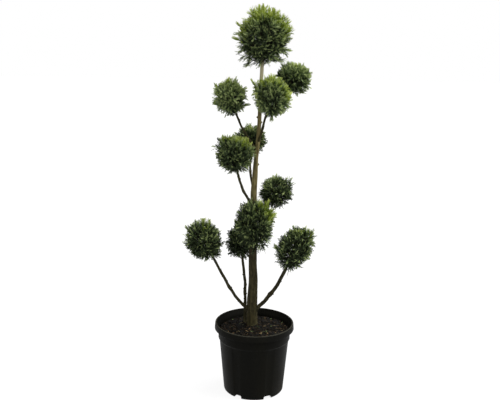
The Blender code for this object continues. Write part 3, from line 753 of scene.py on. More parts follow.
def build_pot():
    """The moulded pot: rolled hollow lip, collar, fluted wall, recesses and drain slots."""
    material = pot_plastic()
    bore = COLLAR_RADIUS - POT_WALL
    lip_foot = POT_HEIGHT - LIP_DROP
    foot = [(0.0, 0.0)]
    foot += arc((WALL_FOOT_RADIUS - FOOT_ROUND, FOOT_ROUND), FOOT_ROUND, -90, 0, 8)
    step_foot = COLLAR_FOOT - COLLAR_STEP
    wall = [(WALL_TOP_RADIUS - STEP_SLOPE, step_foot - STEP_EDGE), (WALL_TOP_RADIUS, step_foot)]
    wall += arc((COLLAR_RADIUS - EDGE_ROUND, COLLAR_FOOT + STEP_LIFT), EDGE_ROUND, -50, 0, 3)
    lip_under = POT_HEIGHT - POT_WALL
    crest = RIM_RADIUS - LIP_TAPER
    lip = [(COLLAR_RADIUS, FLARE_FOOT), (FLARE_RADIUS + FLARE_WALL, lip_under), (crest - POT_WALL, lip_under)]
    lip += [(RIM_RADIUS - POT_WALL, lip_foot + EDGE_ROUND)]
    lip += arc((RIM_RADIUS - POT_WALL / 2, lip_foot + EDGE_ROUND), EDGE_ROUND, 180, 360, 6)
    lip += arc((crest - LIP_ROUND, POT_HEIGHT - LIP_ROUND), LIP_ROUND, 0, 90, 8)
    lip += arc((FLARE_RADIUS + FLARE_ROUND, POT_HEIGHT - FLARE_ROUND), FLARE_ROUND, 90, 180, 6)
    lip += [(bore, FLARE_FOOT)]
    low_wall = WALL_FOOT_RADIUS + (WALL_TOP_RADIUS - WALL_FOOT_RADIUS) * FOOT_ROUND / COLLAR_FOOT
    inside = [(bore, COLLAR_FOOT), (WALL_TOP_RADIUS - POT_WALL, COLLAR_FOOT - COLLAR_STEP)]
    inside += [(low_wall - POT_WALL, FOOT_ROUND + POT_WALL)]
    inside += [(low_wall - POT_WALL - FOOT_ROUND / 2, POT_WALL), (0.0, POT_WALL)]
    profile = subdivided(foot + wall + lip + inside, PROFILE_STEP)
    pot = add_piece("pot_shell", *turned(profile, POT_SEGMENTS, flute), material)

    plug_profile = [(max(r - PLUG_INSET, 0.0), z + PLUG_INSET) for r, z in foot + wall] + [(0.0, COLLAR_FOOT)]
    plug = add_piece("plug", *turned(plug_profile, POT_SEGMENTS), material)
    walls = add_piece("walls", *recess_blocks(POT_WALL, WALL_FOOT_RADIUS, RECESS_WALL_FOOT), material)
    cut_end = WALL_FOOT_RADIUS * RECESS_CUT_SHARE
    recesses = add_piece("recesses", *recess_blocks(0.0, cut_end, RECESS_CUT_FOOT), material)
    for piece in (pot, plug, walls, recesses):
        face_out(piece)
    walls = combined(walls, [plug], "INTERSECT")
    pot = combined(pot, [walls], "UNION")
    slots = []
    for turn in recess_turns(4):
        shape = bmesh.new()
        bmesh.ops.create_cube(shape, size=1.0)
        place = Matrix.Translation((WALL_FOOT_RADIUS - RECESS_DEPTH, 0.0, DRAIN_SLOT_MIDDLE))
        shape.transform(turn @ place @ Matrix.Diagonal((*DRAIN_SLOT_SIZE, 1.0)))
        slots.append(add_object("slot", mesh_of(shape, "slot")))
    pot = combined(pot, [recesses] + slots, "DIFFERENCE")
    pot.data.shade_smooth()
    pot.data.set_sharp_from_angle(angle=math.radians(POT_SHARP_DEG))
    settle(pot, "pot_plastic", "pot")


def soil_surface(points, bore):
    """Points with their heights on the mounded, crumbly surface of the soil."""
    raised = []
    for x, y, _ in points:
        spot = Vector((x, y, 0.0))
        height = SOIL_LEVEL + SOIL_MOUND * (1.0 - (math.hypot(x, y) / bore) ** SOIL_MOUND_POWER)
        height += CLOD_HEIGHT * noise.fractal(spot * CLOD_SCALE, 1.0, 2.2, 4)
        raised.append((x, y, height + CRUMB_HEIGHT * noise.noise(spot * CRUMB_SCALE)))
    return raised


def chip_form(name, seed, size, material):
    """A splinter of composted bark: a crooked block with chipped corners."""
    draw = random.Random(seed)
    shape = bmesh.new()
    bmesh.ops.create_cube(shape, size=1.0)
    bmesh.ops.bevel(shape, geom=shape.edges, offset=CHIP_BEVEL, segments=1, affect="EDGES")
    for vertex in shape.verts:
        vertex.co += drawn(draw, CHIP_CROOK)
        vertex.co = Vector([part * scale for part, scale in zip(vertex.co, size)])
    mesh = mesh_of(shape, name)
    mesh.materials.append(material)
    return bpy.data.objects.new(name, mesh)


class Tree(Nodes):
    """A Geometry Nodes tree with named inputs."""

    def __init__(self, name, inputs):
        super().__init__(bpy.data.node_groups.new(name, "GeometryNodeTree"))
        face = self.tree.interface
        face.new_socket("Geometry", in_out="OUTPUT", socket_type="NodeSocketGeometry")
        face.new_socket("Geometry", in_out="INPUT", socket_type="NodeSocketGeometry")
        self.keys = {}
        for label, kind in inputs.items():
            self.keys[label] = face.new_socket(label, in_out="INPUT", socket_type=kind).identifier
        self.source = self.tree.nodes.new("NodeGroupInput")

    def given(self, label):
        """An input of the tree, by its name."""
        return Tone(self, self.source.outputs[label])

    def attribute(self, label, kind):
        """A named attribute of the points."""
        return self.node("GeometryNodeInputNamedAttribute", {"data_type": kind}, {"Name": label})

    def members(self, label):
        """The single members of a collection that the tree is given."""
        return self.node("GeometryNodeCollectionInfo", None, {
            "Collection": self.given(label), "Separate Children": True, "Reset Children": True})

    def turn(self, euler):
        """A rotation from angles about the three axes."""
        return self.node("FunctionNodeEulerToRotation", None, {"Euler": euler})

    def laid(self, points, forms, turn, size, more=None):
        """A real copy of one of the forms on each point."""
        copies = self.node("GeometryNodeInstanceOnPoints", None, {
            "Points": points, "Instance": forms, "Pick Instance": True, "Rotation": turn, "Scale": size,
            **(more or {})})
        return self.node("GeometryNodeRealizeInstances", None, {"Geometry": copies})

    def end(self, geometry):
        """Joins the last node to the tree's output."""
        self.feed(self.tree.nodes.new("NodeGroupOutput").inputs[0], geometry)

    def put_on(self, made, values):
        """Adds the tree to an object, with its inputs set by name."""
        modifier = made.modifiers.new(self.tree.name, "NODES")
        modifier.node_group = self.tree
        for label, value in values.items():
            modifier[self.keys[label]] = value


def build_soil():
    """The soil bed, with bark chips and straw scattered over it."""
    bore = COLLAR_RADIUS - POT_WALL - SOIL_GAP
    slope_in = (WALL_TOP_RADIUS - WALL_FOOT_RADIUS) / COLLAR_FOOT
    foot_radius = WALL_FOOT_RADIUS + slope_in * SOIL_FOOT - POT_WALL - SOIL_GAP
    profile = [(0.0, SOIL_FOOT), (foot_radius - SOIL_FOOT_INSET, SOIL_FOOT)]
    profile += [(foot_radius, SOIL_FOOT + SOIL_FOOT_RISE)]
    profile += [(WALL_TOP_RADIUS - POT_WALL - SOIL_GAP - SOIL_STEP_GAP, COLLAR_FOOT - COLLAR_STEP)]
    profile += [(bore, COLLAR_FOOT + SOIL_STEP_RISE)]
    first_top = 1 + SOIL_SEGMENTS * (len(profile) - 1)
    profile += [(bore * (1.0 - ring / SOIL_RINGS), SOIL_LEVEL) for ring in range(SOIL_RINGS + 1)]
    vertices, faces = turned(profile, SOIL_SEGMENTS)
    vertices[first_top:] = soil_surface(vertices[first_top:], bore)
    bed = add_piece("soil_bed", vertices, faces, soil_crumb())
    face_out(bed)
    settle(bed, "potting_soil", "soil")

    forms = []
    for name, colour, roughness, size, count in CHIPS:
        material = plain(name, colour, roughness)
        for _ in range(count):
            index = len(forms)
            forms.append(chip_form("chip_%02d" % index, CHIP_FIRST_SEED + index, size, material))
    forms = add_collection("chip_forms", forms)
    profile = [(0.0, 0.0)]
    for ring in range(CHIP_GROUND_RINGS):
        profile.append((bore * CHIP_GROUND_SHARE * (ring + 1) / CHIP_GROUND_RINGS, 0.0))
    vertices, faces = turned(profile, CHIP_GROUND_SEGMENTS)
    disc = bpy.data.meshes.new("chip_ground")
    disc.from_pydata(soil_surface(vertices, bore), [], faces)
    ground = add_object("chip_ground", disc)
    tree = Tree("scattered_chips", {"Chips per square metre": "NodeSocketFloat", "Seed": "NodeSocketInt",
                                    "Chip forms": "NodeSocketCollection"})
    seed = tree.given("Seed")
    points = tree.node("GeometryNodeDistributePointsOnFaces", None, {
        "Mesh": tree.given("Geometry"), "Density": tree.given("Chips per square metre"), "Seed": seed})
    spin = tree.node("FunctionNodeRandomValue", {"data_type": "FLOAT_VECTOR"}, {
        0: (-CHIP_TILT, -CHIP_TILT, 0.0), 1: (CHIP_TILT, CHIP_TILT, 2.0 * math.pi), "Seed": seed})
    size = tree.node("FunctionNodeRandomValue", {"data_type": "FLOAT"}, {
        2: CHIP_SCALES[0], 3: CHIP_SCALES[1], "Seed": seed}, 1)
    tree.end(tree.laid(points, tree.members("Chip forms"), tree.turn(spin), size))
    tree.put_on(ground, {"Chips per square metre": CHIPS_PER_SQUARE_METRE, "Seed": CHIP_SCATTER_SEED,
                         "Chip forms": forms})
    settle(evaluated_piece(ground, "soil_chips"), "potting_soil")
    remove_collection(forms)


Limb = namedtuple("Limb", "path radii")


def spline_point(rows, place):
    """A point on the smooth curve through rows of numbers, at a place counted in rows."""
    index = min(int(place), len(rows) - 2)
    share = place - index
    before, start = rows[max(index - 1, 0)], rows[index]
    end, after = rows[index + 1], rows[min(index + 2, len(rows) - 1)]
    point = []
    for a, b, c, d in zip(before, start, end, after):
        point.append(b + 0.5 * share * (c - a + share * (2 * a - 5 * b + 4 * c - d
                                                       + share * (3 * (b - c) + d - a))))
    return point


def trunk_at(height):
    """The trunk's middle point and radius at a height."""
    for low, high in zip(TRUNK_STATIONS, TRUNK_STATIONS[1:]):
        if height <= high[0]:
            share = (height - low[0]) / (high[0] - low[0])
            row = [a + (b - a) * share for a, b in zip(low, high)]
            return Vector((row[1], row[2], row[0])), row[3]
    top = TRUNK_STATIONS[-1]
    return Vector((top[1], top[2], top[0])), top[3]


def trunk_limb(rings):
    """The trunk's path and radii."""
    path = []
    radii = []
    for ring in range(rings):
        height, x, y, radius = spline_point(TRUNK_STATIONS, (len(TRUNK_STATIONS) - 1) * ring / (rings - 1))
        path.append(Vector((x, y, height)))
        radii.append(radius)
    return Limb(path, radii)


def towards(direction, angle_deg):
    """From 0 to 1, how near a direction lies to an angle in the front view."""
    angle = math.radians(angle_deg)
    return math.exp((direction.x * math.cos(angle) + direction.z * math.sin(angle) - 1.0) / BULGE_SPREAD)


def swell(mass, direction):
    """How far a mass's bulges and dents move the edge of its space in a direction."""
    return 1.0 + sum(gain * towards(direction, angle_deg) for angle_deg, gain in mass.bulges)


def mass_point(mass, direction, share):
    """The point of a mass at a share of the way from its centre to the edge of its space."""
    reach = share * swell(mass, direction)
    x, y, z = (part * reach for part in direction)
    offset = Vector((x * mass.half_width + z * mass.lean, y * mass.half_width, z * mass.half_height))
    return Vector(mass.centre) + offset


def share_of(mass, point):
    """How far a point is from a mass's centre, where 1 is the edge of its space."""
    offset = Vector(point) - Vector(mass.centre)
    z = offset.z / mass.half_height
    x = (offset.x - z * mass.lean) / mass.half_width
    round_offset = Vector((x, offset.y / mass.half_width, z))
    return round_offset.length / swell(mass, unit(round_offset))


def slope(azimuth, elevation_deg):
    """A direction from a level azimuth and an elevation."""
    elevation = math.radians(elevation_deg)
    return Vector((azimuth.x * math.cos(elevation), azimuth.y * math.cos(elevation), math.sin(elevation)))


def bough_limb(bough, rings):
    """A bough's path and radii: a smooth sweep from the trunk, or the soil, to its mass."""
    mass = next(mass for mass in MASSES if mass.name == bough.mass)
    if bough is SIDE_STEM:
        foot = Vector((SIDE_STEM_X, SIDE_STEM_Y, bough.foot_height))
    else:
        foot = trunk_at(bough.foot_height)[0]
    azimuth = Vector(mass.centre) - foot
    azimuth.z = 0.0
    azimuth.normalize()
    leave = slope(azimuth, bough.leave_deg)
    arrive = slope(azimuth, bough.arrive_deg)
    tip = Vector(mass.centre) - arrive * (ENTRY_SHARE / share_of(mass, Vector(mass.centre) - arrive))
    handle = BOUGH_HANDLE * (tip - foot).length
    sideways = Vector((-azimuth.y, azimuth.x, 0.0)) * bough.bow
    corners = (foot, foot + leave * handle + sideways, tip - arrive * handle + sideways, tip)
    path = []
    radii = []
    for ring in range(rings):
        share = ring / (rings - 1)
        weights = ((1 - share) ** 3, 3 * share * (1 - share) ** 2, 3 * share ** 2 * (1 - share), share ** 3)
        path.append(sum((weight * corner for weight, corner in zip(weights, corners)), Vector()))
        radius = bough.root_radius + (bough.tip_radius - bough.root_radius) * share
        collar = (SIDE_STEM_SWELL if bough is SIDE_STEM else COLLAR_SWELL) * math.exp(-share / COLLAR_LENGTH)
        knot = KNOT_SWELL * math.exp(-((share - KNOT_PLACE) / KNOT_LENGTH) ** 2)
        radii.append(radius * (1.0 + collar + knot))
    stem_end = Vector(mass.centre) + unit(path[-1] - path[-2]) * STEM_REACH * mass.half_height
    for share in STEM_SHARES:
        path.append(tip.lerp(stem_end, share))
        radii.append(bough.tip_radius * (1.0 - STEM_TAPER * share))
    return Limb(path, radii)


def add_tube(vertices, faces, limb, sides, relief=None):
    """Adds a closed tube along a limb to lists of vertices and faces."""
    count = len(limb.path)
    normal = Vector((1.0, 0.0, 0.0))
    first = len(vertices)
    for index, (centre, radius) in enumerate(zip(limb.path, limb.radii)):
        tangent = unit(limb.path[min(index + 1, count - 1)] - limb.path[max(index - 1, 0)])
        if abs(normal.dot(tangent)) > 0.95:
            normal = Vector((0.0, 1.0, 0.0))
        normal = unit(normal - tangent * normal.dot(tangent))
        across = tangent.cross(normal)
        for step in range(sides):
            angle = 2.0 * math.pi * step / sides
            out = normal * math.cos(angle) + across * math.sin(angle)
            reach = radius + (relief(out, centre, radius) if relief else 0.0)
            vertices.append(centre + out * reach)
    faces.append(tuple(range(first, first + sides))[::-1])
    faces.append(tuple(range(first + (count - 1) * sides, first + count * sides)))
    for ring in range(count - 1):
        low = first + ring * sides
        for step in range(sides):
            after = (step + 1) % sides
            faces.append((low + step, low + after, low + sides + after, low + sides + step))


def bark_relief(out, centre, radius):
    """Long shallow ridges and plates of bark, with old rings of bud scars."""
    spot = Vector((out.x * radius, out.y * radius, centre.z * BARK_STRETCH)) * BARK_SCALE
    ridge = noise.fractal(spot, 1.0, 2.1, 4)
    lumps = noise.noise(Vector((out.x, out.y, centre.z * LUMP_RISE)) * LUMP_SCALE)
    rings = noise.noise(Vector((3.0, 5.0, centre.z * RING_RISE)))
    return radius * (RIDGE_SHARE * ridge + LUMP_SHARE * lumps + RING_SHARE * rings) - radius * BARK_SINK


def bough_relief(out, centre, radius):
    """The bark of a bough: the trunk's ridges, with swollen nodes along it."""
    node = max(0.0, noise.noise(Vector((7.0, 2.0, centre.z * NODE_RISE + centre.x * NODE_DRIFT))))
    return bark_relief(out, centre, radius) + radius * NODE_SHARE * node


def crooked(limb, draw):
    """A limb with small kinks between its ends."""
    shift = Vector([draw.uniform(0.0, 9.0) for _ in range(3)])
    path = []
    for index, point in enumerate(limb.path):
        share = index / (len(limb.path) - 1)
        ease = min(1.0, share / KINK_EASE, (1.0 - share) / KINK_EASE)
        path.append(point + noise.noise_vector(point * KINK_SCALE + shift) * KINK_SIZE * ease)
    return Limb(path, limb.radii)


def build_limbs():
    """The trunk with its stubs, and every bough, with bark in relief."""
    trunk_bark = bark("trunk_bark", (paint(46, 42, 26), paint(80, 74, 48)),
                      (paint(88, 76, 44), paint(164, 152, 102)), 0.66, 1.16, 0.85)
    bough_bark = bark("bough_bark", (paint(40, 37, 23), paint(72, 67, 44)),
                      (paint(46, 43, 24), paint(88, 84, 52)), 0.70, 1.30)
    vertices = []
    faces = []
    add_tube(vertices, faces, trunk_limb(TRUNK_RINGS), TRUNK_SIDES, bark_relief)
    for height, direction_deg, radius in STUBS:
        centre, trunk_radius = trunk_at(height)
        direction = Matrix.Rotation(math.radians(direction_deg), 3, "Z") @ STUB_RISE
        reach = trunk_radius + STUB_LENGTH
        path = [centre + direction * reach * share for share in STUB_SHARES]
        add_tube(vertices, faces, Limb(path, [radius * s for s in STUB_SWELLS]), STUB_SIDES)
    settle(add_piece("trunk_with_bark", vertices, faces, trunk_bark), "trunk_bark", "trunk")
    for bough in BOUGHS + (SIDE_STEM,):
        draw = random.Random(bough.name)
        vertices = []
        faces = []
        limb = crooked(bough_limb(bough, BOUGH_RINGS), draw)
        add_tube(vertices, faces, limb, BOUGH_SIDES, bough_relief)
        for _ in range(BUD_COUNT):
            place = draw.randrange(*BUD_PLACES)
            start, radius = limb.path[place], limb.radii[place]
            along = unit(limb.path[place + 1] - start)
            out = unit(along.cross(drawn(draw, 1)))
            bud_path = [start, start + out * radius, start + (out + along * 0.5) * (radius + BUD_STAND)]
            add_tube(vertices, faces, Limb(bud_path, BUD_RADII), BUD_SIDES)
        piece = add_piece(bough.name + "_with_bark", vertices, faces, bough_bark)
        settle(piece, "bough_bark", bough.name)


def even_directions(count, draw, jitter):
    """Directions spread evenly over a sphere on a golden spiral, each moved a little."""
    golden = math.pi * (3.0 - math.sqrt(5.0))
    directions = []
    for index in range(count):
        z = 1.0 - 2.0 * (index + 0.5) / count
        level = math.sqrt(1.0 - z * z)
        spot = Vector((level * math.cos(golden * index), level * math.sin(golden * index), z))
        directions.append(unit(spot + drawn(draw, jitter)))
    return directions


def nearest(direction, others):
    """The index of the direction that lies nearest."""
    return max(range(len(others)), key=lambda index: direction.dot(others[index]))


def spray_form(name, seed, material):
    """A flat feathery spray, one unit long towards +Z: a slim axis with leaflets in its own outline.

    The leaflets near the tip are marked, because they are a shade fresher than the rest.
    """
    draw = random.Random(seed)
    vertices = []
    faces = []
    fresh = []

    def leaflet(root, tip, width, lift, freshness):
        along = tip - root
        side = Vector((along.z, 0.0, -along.x)).normalized() * width / 2
        raised = root.lerp(tip, LEAFLET_BELLY) + Vector((0.0, lift, 0.0))
        start = len(vertices)
        vertices.extend((root, raised + side, tip, raised - side))
        faces.extend(((start, start + 2, start + 1), (start, start + 3, start + 2),
                      (start, start + 1, start + 3), (start + 2, start + 3, start + 1)))
        fresh.extend([freshness] * 4)

    def on_axis(share):
        return Vector((0.0, -SPRAY_DROOP * share * share, share))

    leaflet(UP * STALK_FOOT, on_axis(STALK_TOP), STALK_WIDTH, STALK_LIFT, 0)
    leaflet(on_axis(TIP_FOOT), on_axis(1.0), TIP_WIDTH, LEAFLET_LIFT, SHADES_ADDED_FRESH)
    for index in range(SPRAY_LEAFLETS):
        share = LEAFLET_FROM + LEAFLET_SPAN * index / (SPRAY_LEAFLETS - 1)
        share += draw.uniform(-LEAFLET_SHIFT, LEAFLET_SHIFT)
        side = 1.0 if index % 2 else -1.0
        length = LEAFLET_MORE_LENGTH * (1.0 - share) ** LEAFLET_POWER + LEAFLET_TIP_LENGTH
        length *= draw.uniform(*LEAFLET_VARIETY)
        angle = math.radians(draw.uniform(*LEAFLET_DEG))
        bend = draw.uniform(-LEAFLET_BEND, LEAFLET_BEND)
        way = Vector((side * math.sin(angle), bend, math.cos(angle)))
        root = on_axis(share)
        freshness = int(share > FRESH_FROM) + int(share > FRESHEST_FROM)
        leaflet(root, root + way * length, LEAFLET_WIDTH, LEAFLET_LIFT, freshness)
    mesh = bpy.data.meshes.new(name)
    mesh.from_pydata(vertices, [], faces)
    mesh.materials.append(material)
    mesh.attributes.new("fresh", "INT", "FACE").data.foreach_set("value", fresh)
    mesh.update()
    return bpy.data.objects.new(name, mesh)


def spray_tree(shades):
    """The tree that sets a spray on each point, turned, sized and shaded as the point says."""
    tree = Tree("sprays_on_shoots", {"Spray forms": "NodeSocketCollection",
                                     "Spray length": "NodeSocketFloat"})
    size = tree.attribute("size", "FLOAT") * tree.given("Spray length")
    geometry = tree.laid(tree.given("Geometry"), tree.members("Spray forms"),
                         tree.turn(tree.attribute("aim", "FLOAT_VECTOR")), size,
                         {"Instance Index": tree.attribute("form", "INT")})
    shade = tree.attribute("shade", "INT") + tree.attribute("fresh", "INT")
    for index, material in enumerate(shades):
        chosen = tree.node("FunctionNodeCompare", {"data_type": "FLOAT", "operation": "EQUAL"}, {
            0: shade, 1: float(index), "Epsilon": 0.5})
        geometry = tree.node("GeometryNodeSetMaterial", None, {
            "Geometry": geometry, "Selection": chosen, "Material": material})
    tree.end(geometry)
    return tree


def near_limb(point, limbs, margin):
    """Whether a point comes within a margin of any limb."""
    for limb in limbs:
        for start, end, radius in zip(limb.path, limb.path[1:], limb.radii):
            along = end - start
            share = max(0.0, min(1.0, (point - start).dot(along) / along.length_squared))
            if (point - start - along * share).length < radius + margin:
                return True
    return False


Plume = namedtuple("Plume", "way start foot reach spread glow")


def grow_twigs(mass, draw):
    """The plumes of a mass, and the mesh of the twigs that branch twice from its stem to carry them."""
    area = 4.0 * math.pi * mass.half_width * (mass.half_width + 2.0 * mass.half_height) / 3.0
    plume_count = round(area / PLUME_SPACING ** 2)
    twig_ways = even_directions(TWIG_COUNT, draw, TWIG_JITTER)
    branchlet_ways = even_directions(round(plume_count / PLUMES_ON_BRANCHLET), draw, BRANCHLET_JITTER)
    vertices = []
    faces = []
    twig_tips = []
    for way in twig_ways:
        foot = mass_point(mass, way, TWIG_FOOT_SHARE)
        tip = mass_point(mass, unit(way + UP * UPTURN), TWIG_TIP_SHARE)
        twig_tips.append(tip)
        add_tube(vertices, faces, Limb([foot, foot.lerp(tip, 0.5), tip], TWIG_RADII), 4)
    branchlets = []
    for way in branchlet_ways:
        foot = twig_tips[nearest(way, twig_ways)]
        tuft = draw.gauss(0.0, BRANCHLET_TUFT)
        tip = mass_point(mass, way, BRANCHLET_TIP_SHARE + tuft / 2)
        branchlets.append((tip, tuft, draw.gauss(0.0, BRANCHLET_GLOW)))
        add_tube(vertices, faces, Limb([foot, tip], BRANCHLET_RADII), 3)
    plumes = []
    for way in even_directions(plume_count, draw, PLUME_JITTER):
        parent = nearest(way, branchlet_ways)
        tip, tuft, glow = branchlets[parent]
        reach = min(PLUME_REACH_SHARE + tuft + draw.gauss(0.0, PLUME_RAGGED), PLUME_REACH_LIMIT)
        foot_way = unit(way.lerp(branchlet_ways[parent], PLUME_GATHER))
        foot = mass_point(mass, foot_way, PLUME_FOOT_SHARE + tuft)
        glow += draw.gauss(0.0, PLUME_GLOW)
        plumes.append(Plume(way, tip.lerp(foot, PLUME_START), foot, reach, 1.0, glow))
    for angle_deg, reach in STRAYS.get(mass.name, ()):
        turn = math.radians(angle_deg)
        way = Vector((math.cos(turn), 0.0, math.sin(turn)))
        start = mass_point(mass, way, STRAY_FOOT_SHARE - STRAY_START_DROP)
        foot = mass_point(mass, way, STRAY_FOOT_SHARE)
        plumes.append(Plume(way, start, foot, reach, STRAY_SPREAD, STRAY_GLOW))
    return plumes, vertices, faces


def leaf_tone(mass, way, share, gilt_and_light, glow):
    """How bright a spray is, from 0 to 1: painted shade inside, brighter at the tips as fresh growth and
    painted light, with painted light on the lit side and in the golden patches.
    """
    # Painted light and shade: sprays that face LIGHT_SIDE and the outer ones are brightened, the inner ones
    # darkened
    outer = max(0.0, min(1.0, (share - OUTER_FROM) / OUTER_OVER))
    own = mass.bright * (INNER_BRIGHT + OUTER_BRIGHT * outer)
    return own + (LIT_GLOW * way.dot(LIGHT_SIDE) + gilt_and_light) * (INNER_LIT + OUTER_LIT * outer) + glow


def plume_sprays(mass, plume, draw):
    """The sprays of one plume, a fan on both sides of its axis, smaller to the tip, and the axis's end."""
    length_share = SPRAY_LENGTH / mass.half_width
    wander = drawn(draw, 1) * PLUME_WANDER * plume.spread
    way = unit(plume.way + UP * PLUME_UPTURN + wander)
    top = mass_point(mass, way, plume.reach - PLUME_TIP_ROOM * length_share)
    axis = unit(top - plume.foot)
    flat = unit(axis.cross(drawn(draw, 1)))
    sprays = []
    for index in range(SPRAYS_ON_PLUME):
        place = index / (SPRAYS_ON_PLUME - 1)
        root = plume.foot.lerp(top, place)
        swing_deg = draw.uniform(*FOOT_SWING_DEG) * (1.0 - place) + draw.uniform(*TIP_SWING_DEG)
        swing = math.radians(swing_deg * plume.spread)
        side = flat if index % 2 else -flat
        side = unit(Quaternion(axis, draw.uniform(-SPRAY_TURN, SPRAY_TURN)) @ side)
        length = SPRAY_LENGTH * (SPRAY_LENGTH_FOOT - SPRAY_LENGTH_FALL * place)
        length *= draw.uniform(*SPRAY_LENGTH_VARIETY)
        wander = drawn(draw, 1) * SPRAY_WANDER * plume.spread
        aim = axis * math.cos(swing) + side * math.sin(swing) + UP * SPRAY_UPTURN + wander
        tip = root + unit(aim) * length
        sprays.append((root, tip, draw.uniform(0.0, math.pi), plume.glow + draw.gauss(0.0, SPRAY_GLOW)))
    return sprays, top


def inner_sprays(mass, count, draw):
    """Sprays deep in a mass, which close it off, darkened as painted shade."""
    sprays = []
    for way in even_directions(count, draw, INNER_JITTER):
        root = mass_point(mass, way, draw.uniform(*INNER_SHARES))
        across = unit(way.cross(drawn(draw, 1)))
        tip = root + unit(way * INNER_OUTWARD + across) * SPRAY_LENGTH * INNER_LENGTH
        sprays.append((root, tip, draw.uniform(0.0, math.pi), INNER_PAINTED_SHADE))
    return sprays


def keeps_clear(mass, neighbours, limbs, spray):
    """Whether a spray stays off the limbs and out of the neighbouring masses."""
    root, tip = spray[:2]
    if near_limb(tip, limbs, LIMB_CLEARANCE) or near_limb(root.lerp(tip, 0.5), limbs, 0.0):
        return False
    share = min(share_of(mass, tip), 1.0)
    return all(share_of(other, tip) >= share for other in neighbours)


def grow_mass(mass, limbs, tree, forms, shade_count, twig_bark):
    """The twigs of a mass, and its sprays as one mesh."""
    draw = random.Random(mass.name)
    centre = Vector(mass.centre)
    neighbours = [other for other in MASSES
                  if other is not mass and (Vector(other.centre) - centre).length < NEIGHBOUR_DISTANCE]
    limbs = [limb for limb in limbs if any(share_of(mass, point) < CLOSE_LIMB_SHARE for point in limb.path)]
    plumes, vertices, faces = grow_twigs(mass, draw)
    candidates = inner_sprays(mass, round(len(plumes) * INNER_SPRAYS_ON_PLUME), draw)
    clear = [keeps_clear(mass, neighbours, limbs, spray) for spray in candidates]
    for plume in plumes:
        fan, top = plume_sprays(mass, plume, draw)
        fan_clear = [keeps_clear(mass, neighbours, limbs, spray) for spray in fan]
        last = max((index for index, is_clear in enumerate(fan_clear) if is_clear), default=0)
        if last:
            path = [plume.start, plume.foot, plume.foot.lerp(top, last / (len(fan) - 1))]
            add_tube(vertices, faces, Limb(path, PLUME_RADII), 3)
        candidates += fan
        clear += fan_clear
    short = mass.name.replace("foliage_", "")
    settle(add_piece("twigs_" + short, vertices, faces, twig_bark, smooth=False), "bough_bark")
    spots = []
    values = {"aim": [], "size": [], "shade": [], "form": []}
    for (root, tip, roll, glow), is_clear in zip(candidates, clear):
        form = draw.randrange(SPRAY_FORMS)
        if not is_clear:
            continue
        way = unit(tip - centre)
        # The golden patches turn sprays gold, and their brightening is partly painted light on the lit tops
        gilt_and_light = sum(gain * towards(way, angle_deg) for angle_deg, gain in mass.gilding)
        tone = leaf_tone(mass, way, share_of(mass, tip), gilt_and_light, glow)
        family = shade_count if draw.random() < GILT_MIXED + (gilt_and_light - GILT_FROM) * GILT_RISE else 0
        brightest = shade_count - 1 - SHADES_ADDED_FRESH
        spots.append(root)
        values["aim"].extend(((tip - root).to_track_quat("Z", "X") @ Quaternion((0, 0, 1), roll)).to_euler())
        values["size"].append((tip - root).length / SPRAY_LENGTH)
        values["shade"].append(family + max(0, min(brightest, int(tone * SHADE_STEPS - 0.5))))
        values["form"].append(form)
    mesh = bpy.data.meshes.new("spray_points")
    mesh.from_pydata(spots, [], [])
    for label, kind in (("aim", "FLOAT_VECTOR"), ("size", "FLOAT"), ("shade", "INT"), ("form", "INT")):
        layer = mesh.attributes.new(label, kind, "POINT")
        layer.data.foreach_set("vector" if kind == "FLOAT_VECTOR" else "value", values[label])
    points = add_object("spray_points", mesh)
    tree.put_on(points, {"Spray forms": forms, "Spray length": SPRAY_LENGTH})
    sprays = evaluated_piece(points, "sprays_" + short)
    for label in (*values, "fresh"):
        if label in sprays.data.attributes:
            sprays.data.attributes.remove(sprays.data.attributes[label])
    slot = {"crown": "foliage_bright", "back": "foliage_shaded", "low_back": "foliage_shaded"}
    settle(sprays, slot.get(short, "foliage_green"), mass.name)


def build_foliage():
    """Every mass of foliage."""
    shades = [plain(*row) for row in LEAF_COLOURS]
    twig_bark = plain("twig_bark", (70, 62, 40), 0.8)
    forms = []
    for index in range(SPRAY_FORMS):
        forms.append(spray_form("spray_form_%d" % index, SPRAY_FIRST_SEED + index, shades[0]))
    forms = add_collection("spray_forms", forms)
    tree = spray_tree(shades)
    limbs = [trunk_limb(TRUNK_CHECK_RINGS)]
    for bough in BOUGHS + (SIDE_STEM,):
        path, radii = bough_limb(bough, BOUGH_CHECK_RINGS)
        limbs.append(Limb(path[:-len(STEM_SHARES)], radii[:-len(STEM_SHARES)]))
    for mass in MASSES:
        grow_mass(mass, limbs, tree, forms, len(shades) // 2, twig_bark)
    remove_collection(forms)


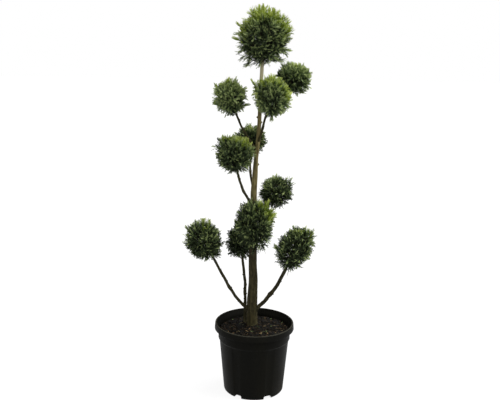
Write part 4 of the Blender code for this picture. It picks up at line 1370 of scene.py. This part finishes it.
def build_camera():
    """The camera at the photograph's place, tilt and roll."""
    pitch = math.radians(CAMERA_PITCH_DEG)
    roll = math.radians(CAMERA_ROLL_DEG)
    across = Vector((1.0, 0.0, 0.0))
    forward = Vector((0.0, math.cos(pitch), -math.sin(pitch)))
    level_up = Vector((0.0, math.sin(pitch), math.cos(pitch)))
    right = across * math.cos(roll) + level_up * math.sin(roll)
    above = level_up * math.cos(roll) - across * math.sin(roll)
    lens = bpy.data.cameras.new("photo_camera")
    lens.sensor_width = SENSOR_WIDTH_MM
    lens.lens = CAMERA_FOCAL_PIXELS * SENSOR_WIDTH_MM / PHOTO_WIDTH
    camera = add_object("photo_camera", lens)
    place = Matrix((right, above, -forward)).transposed().to_4x4()
    place.translation = Vector((CAMERA_X, -CAMERA_DISTANCE, CAMERA_HEIGHT))
    camera.matrix_world = place
    bpy.context.scene.camera = camera


def build_studio():
    """A plain pale floor, a white surround and soft light from above."""
    world = bpy.data.worlds.new("white_studio")
    world.use_nodes = True
    sky = Nodes(world.node_tree)
    light = sky.tree.nodes["Background"]
    spot = sky.node("ShaderNodeTexCoord", output="Generated")
    height = sky.node("ShaderNodeSeparateXYZ", values={0: spot}, output="Z")
    rise = sky.node("ShaderNodeMapRange", values={"Value": height, **SKY_LIGHT})
    sky.feed(light.inputs["Color"], WHITE)
    sky.feed(light.inputs["Strength"], rise)
    seen = sky.node("ShaderNodeBackground", values={"Color": WHITE, "Strength": 1.0})
    rays = sky.node("ShaderNodeLightPath", output="Is Camera Ray")
    either = sky.node("ShaderNodeMixShader", values={0: rays, 1: Tone(sky, light.outputs[0]), 2: seen})
    sky.feed(sky.tree.nodes["World Output"].inputs["Surface"], either)
    bpy.context.scene.world = world
    bpy.context.scene.view_settings.view_transform = "Standard"

    finish = Finish("pale_floor", 0.95)
    for socket, value in (("Base Color", (0.15, 0.15, 0.15, 1.0)), ("Emission Color", WHITE),
                          ("Emission Strength", 0.90), ("Specular IOR Level", 0.0)):
        finish.set(socket, value)
    corners = [(x * FLOOR_SIZE, y * FLOOR_SIZE, 0.0) for x, y in ((-1, -1), (1, -1), (1, 1), (-1, 1))]
    floor = add_piece("floor", corners, [(0, 1, 2, 3)], finish.material, smooth=False)
    floor.visible_diffuse = False
    sun = bpy.data.lights.new("soft_top_light", "SUN")
    sun.energy = SUN_POWER
    sun.angle = math.radians(SUN_SPREAD_DEG)
    add_object("soft_top_light", sun).rotation_euler = (-SUN_SIDE).to_track_quat("-Z", "Y").to_euler()
    for name, place, aim, power, size in AREA_LIGHTS:
        light = bpy.data.lights.new(name, "AREA")
        light.energy = power
        light.size = size
        lamp = add_object(name, light)
        lamp.location = place
        lamp.rotation_euler = (Vector(aim) - Vector(place)).to_track_quat("-Z", "Y").to_euler()


build_camera()
build_studio()
build_pot()
build_soil()
build_limbs()
build_foliage()
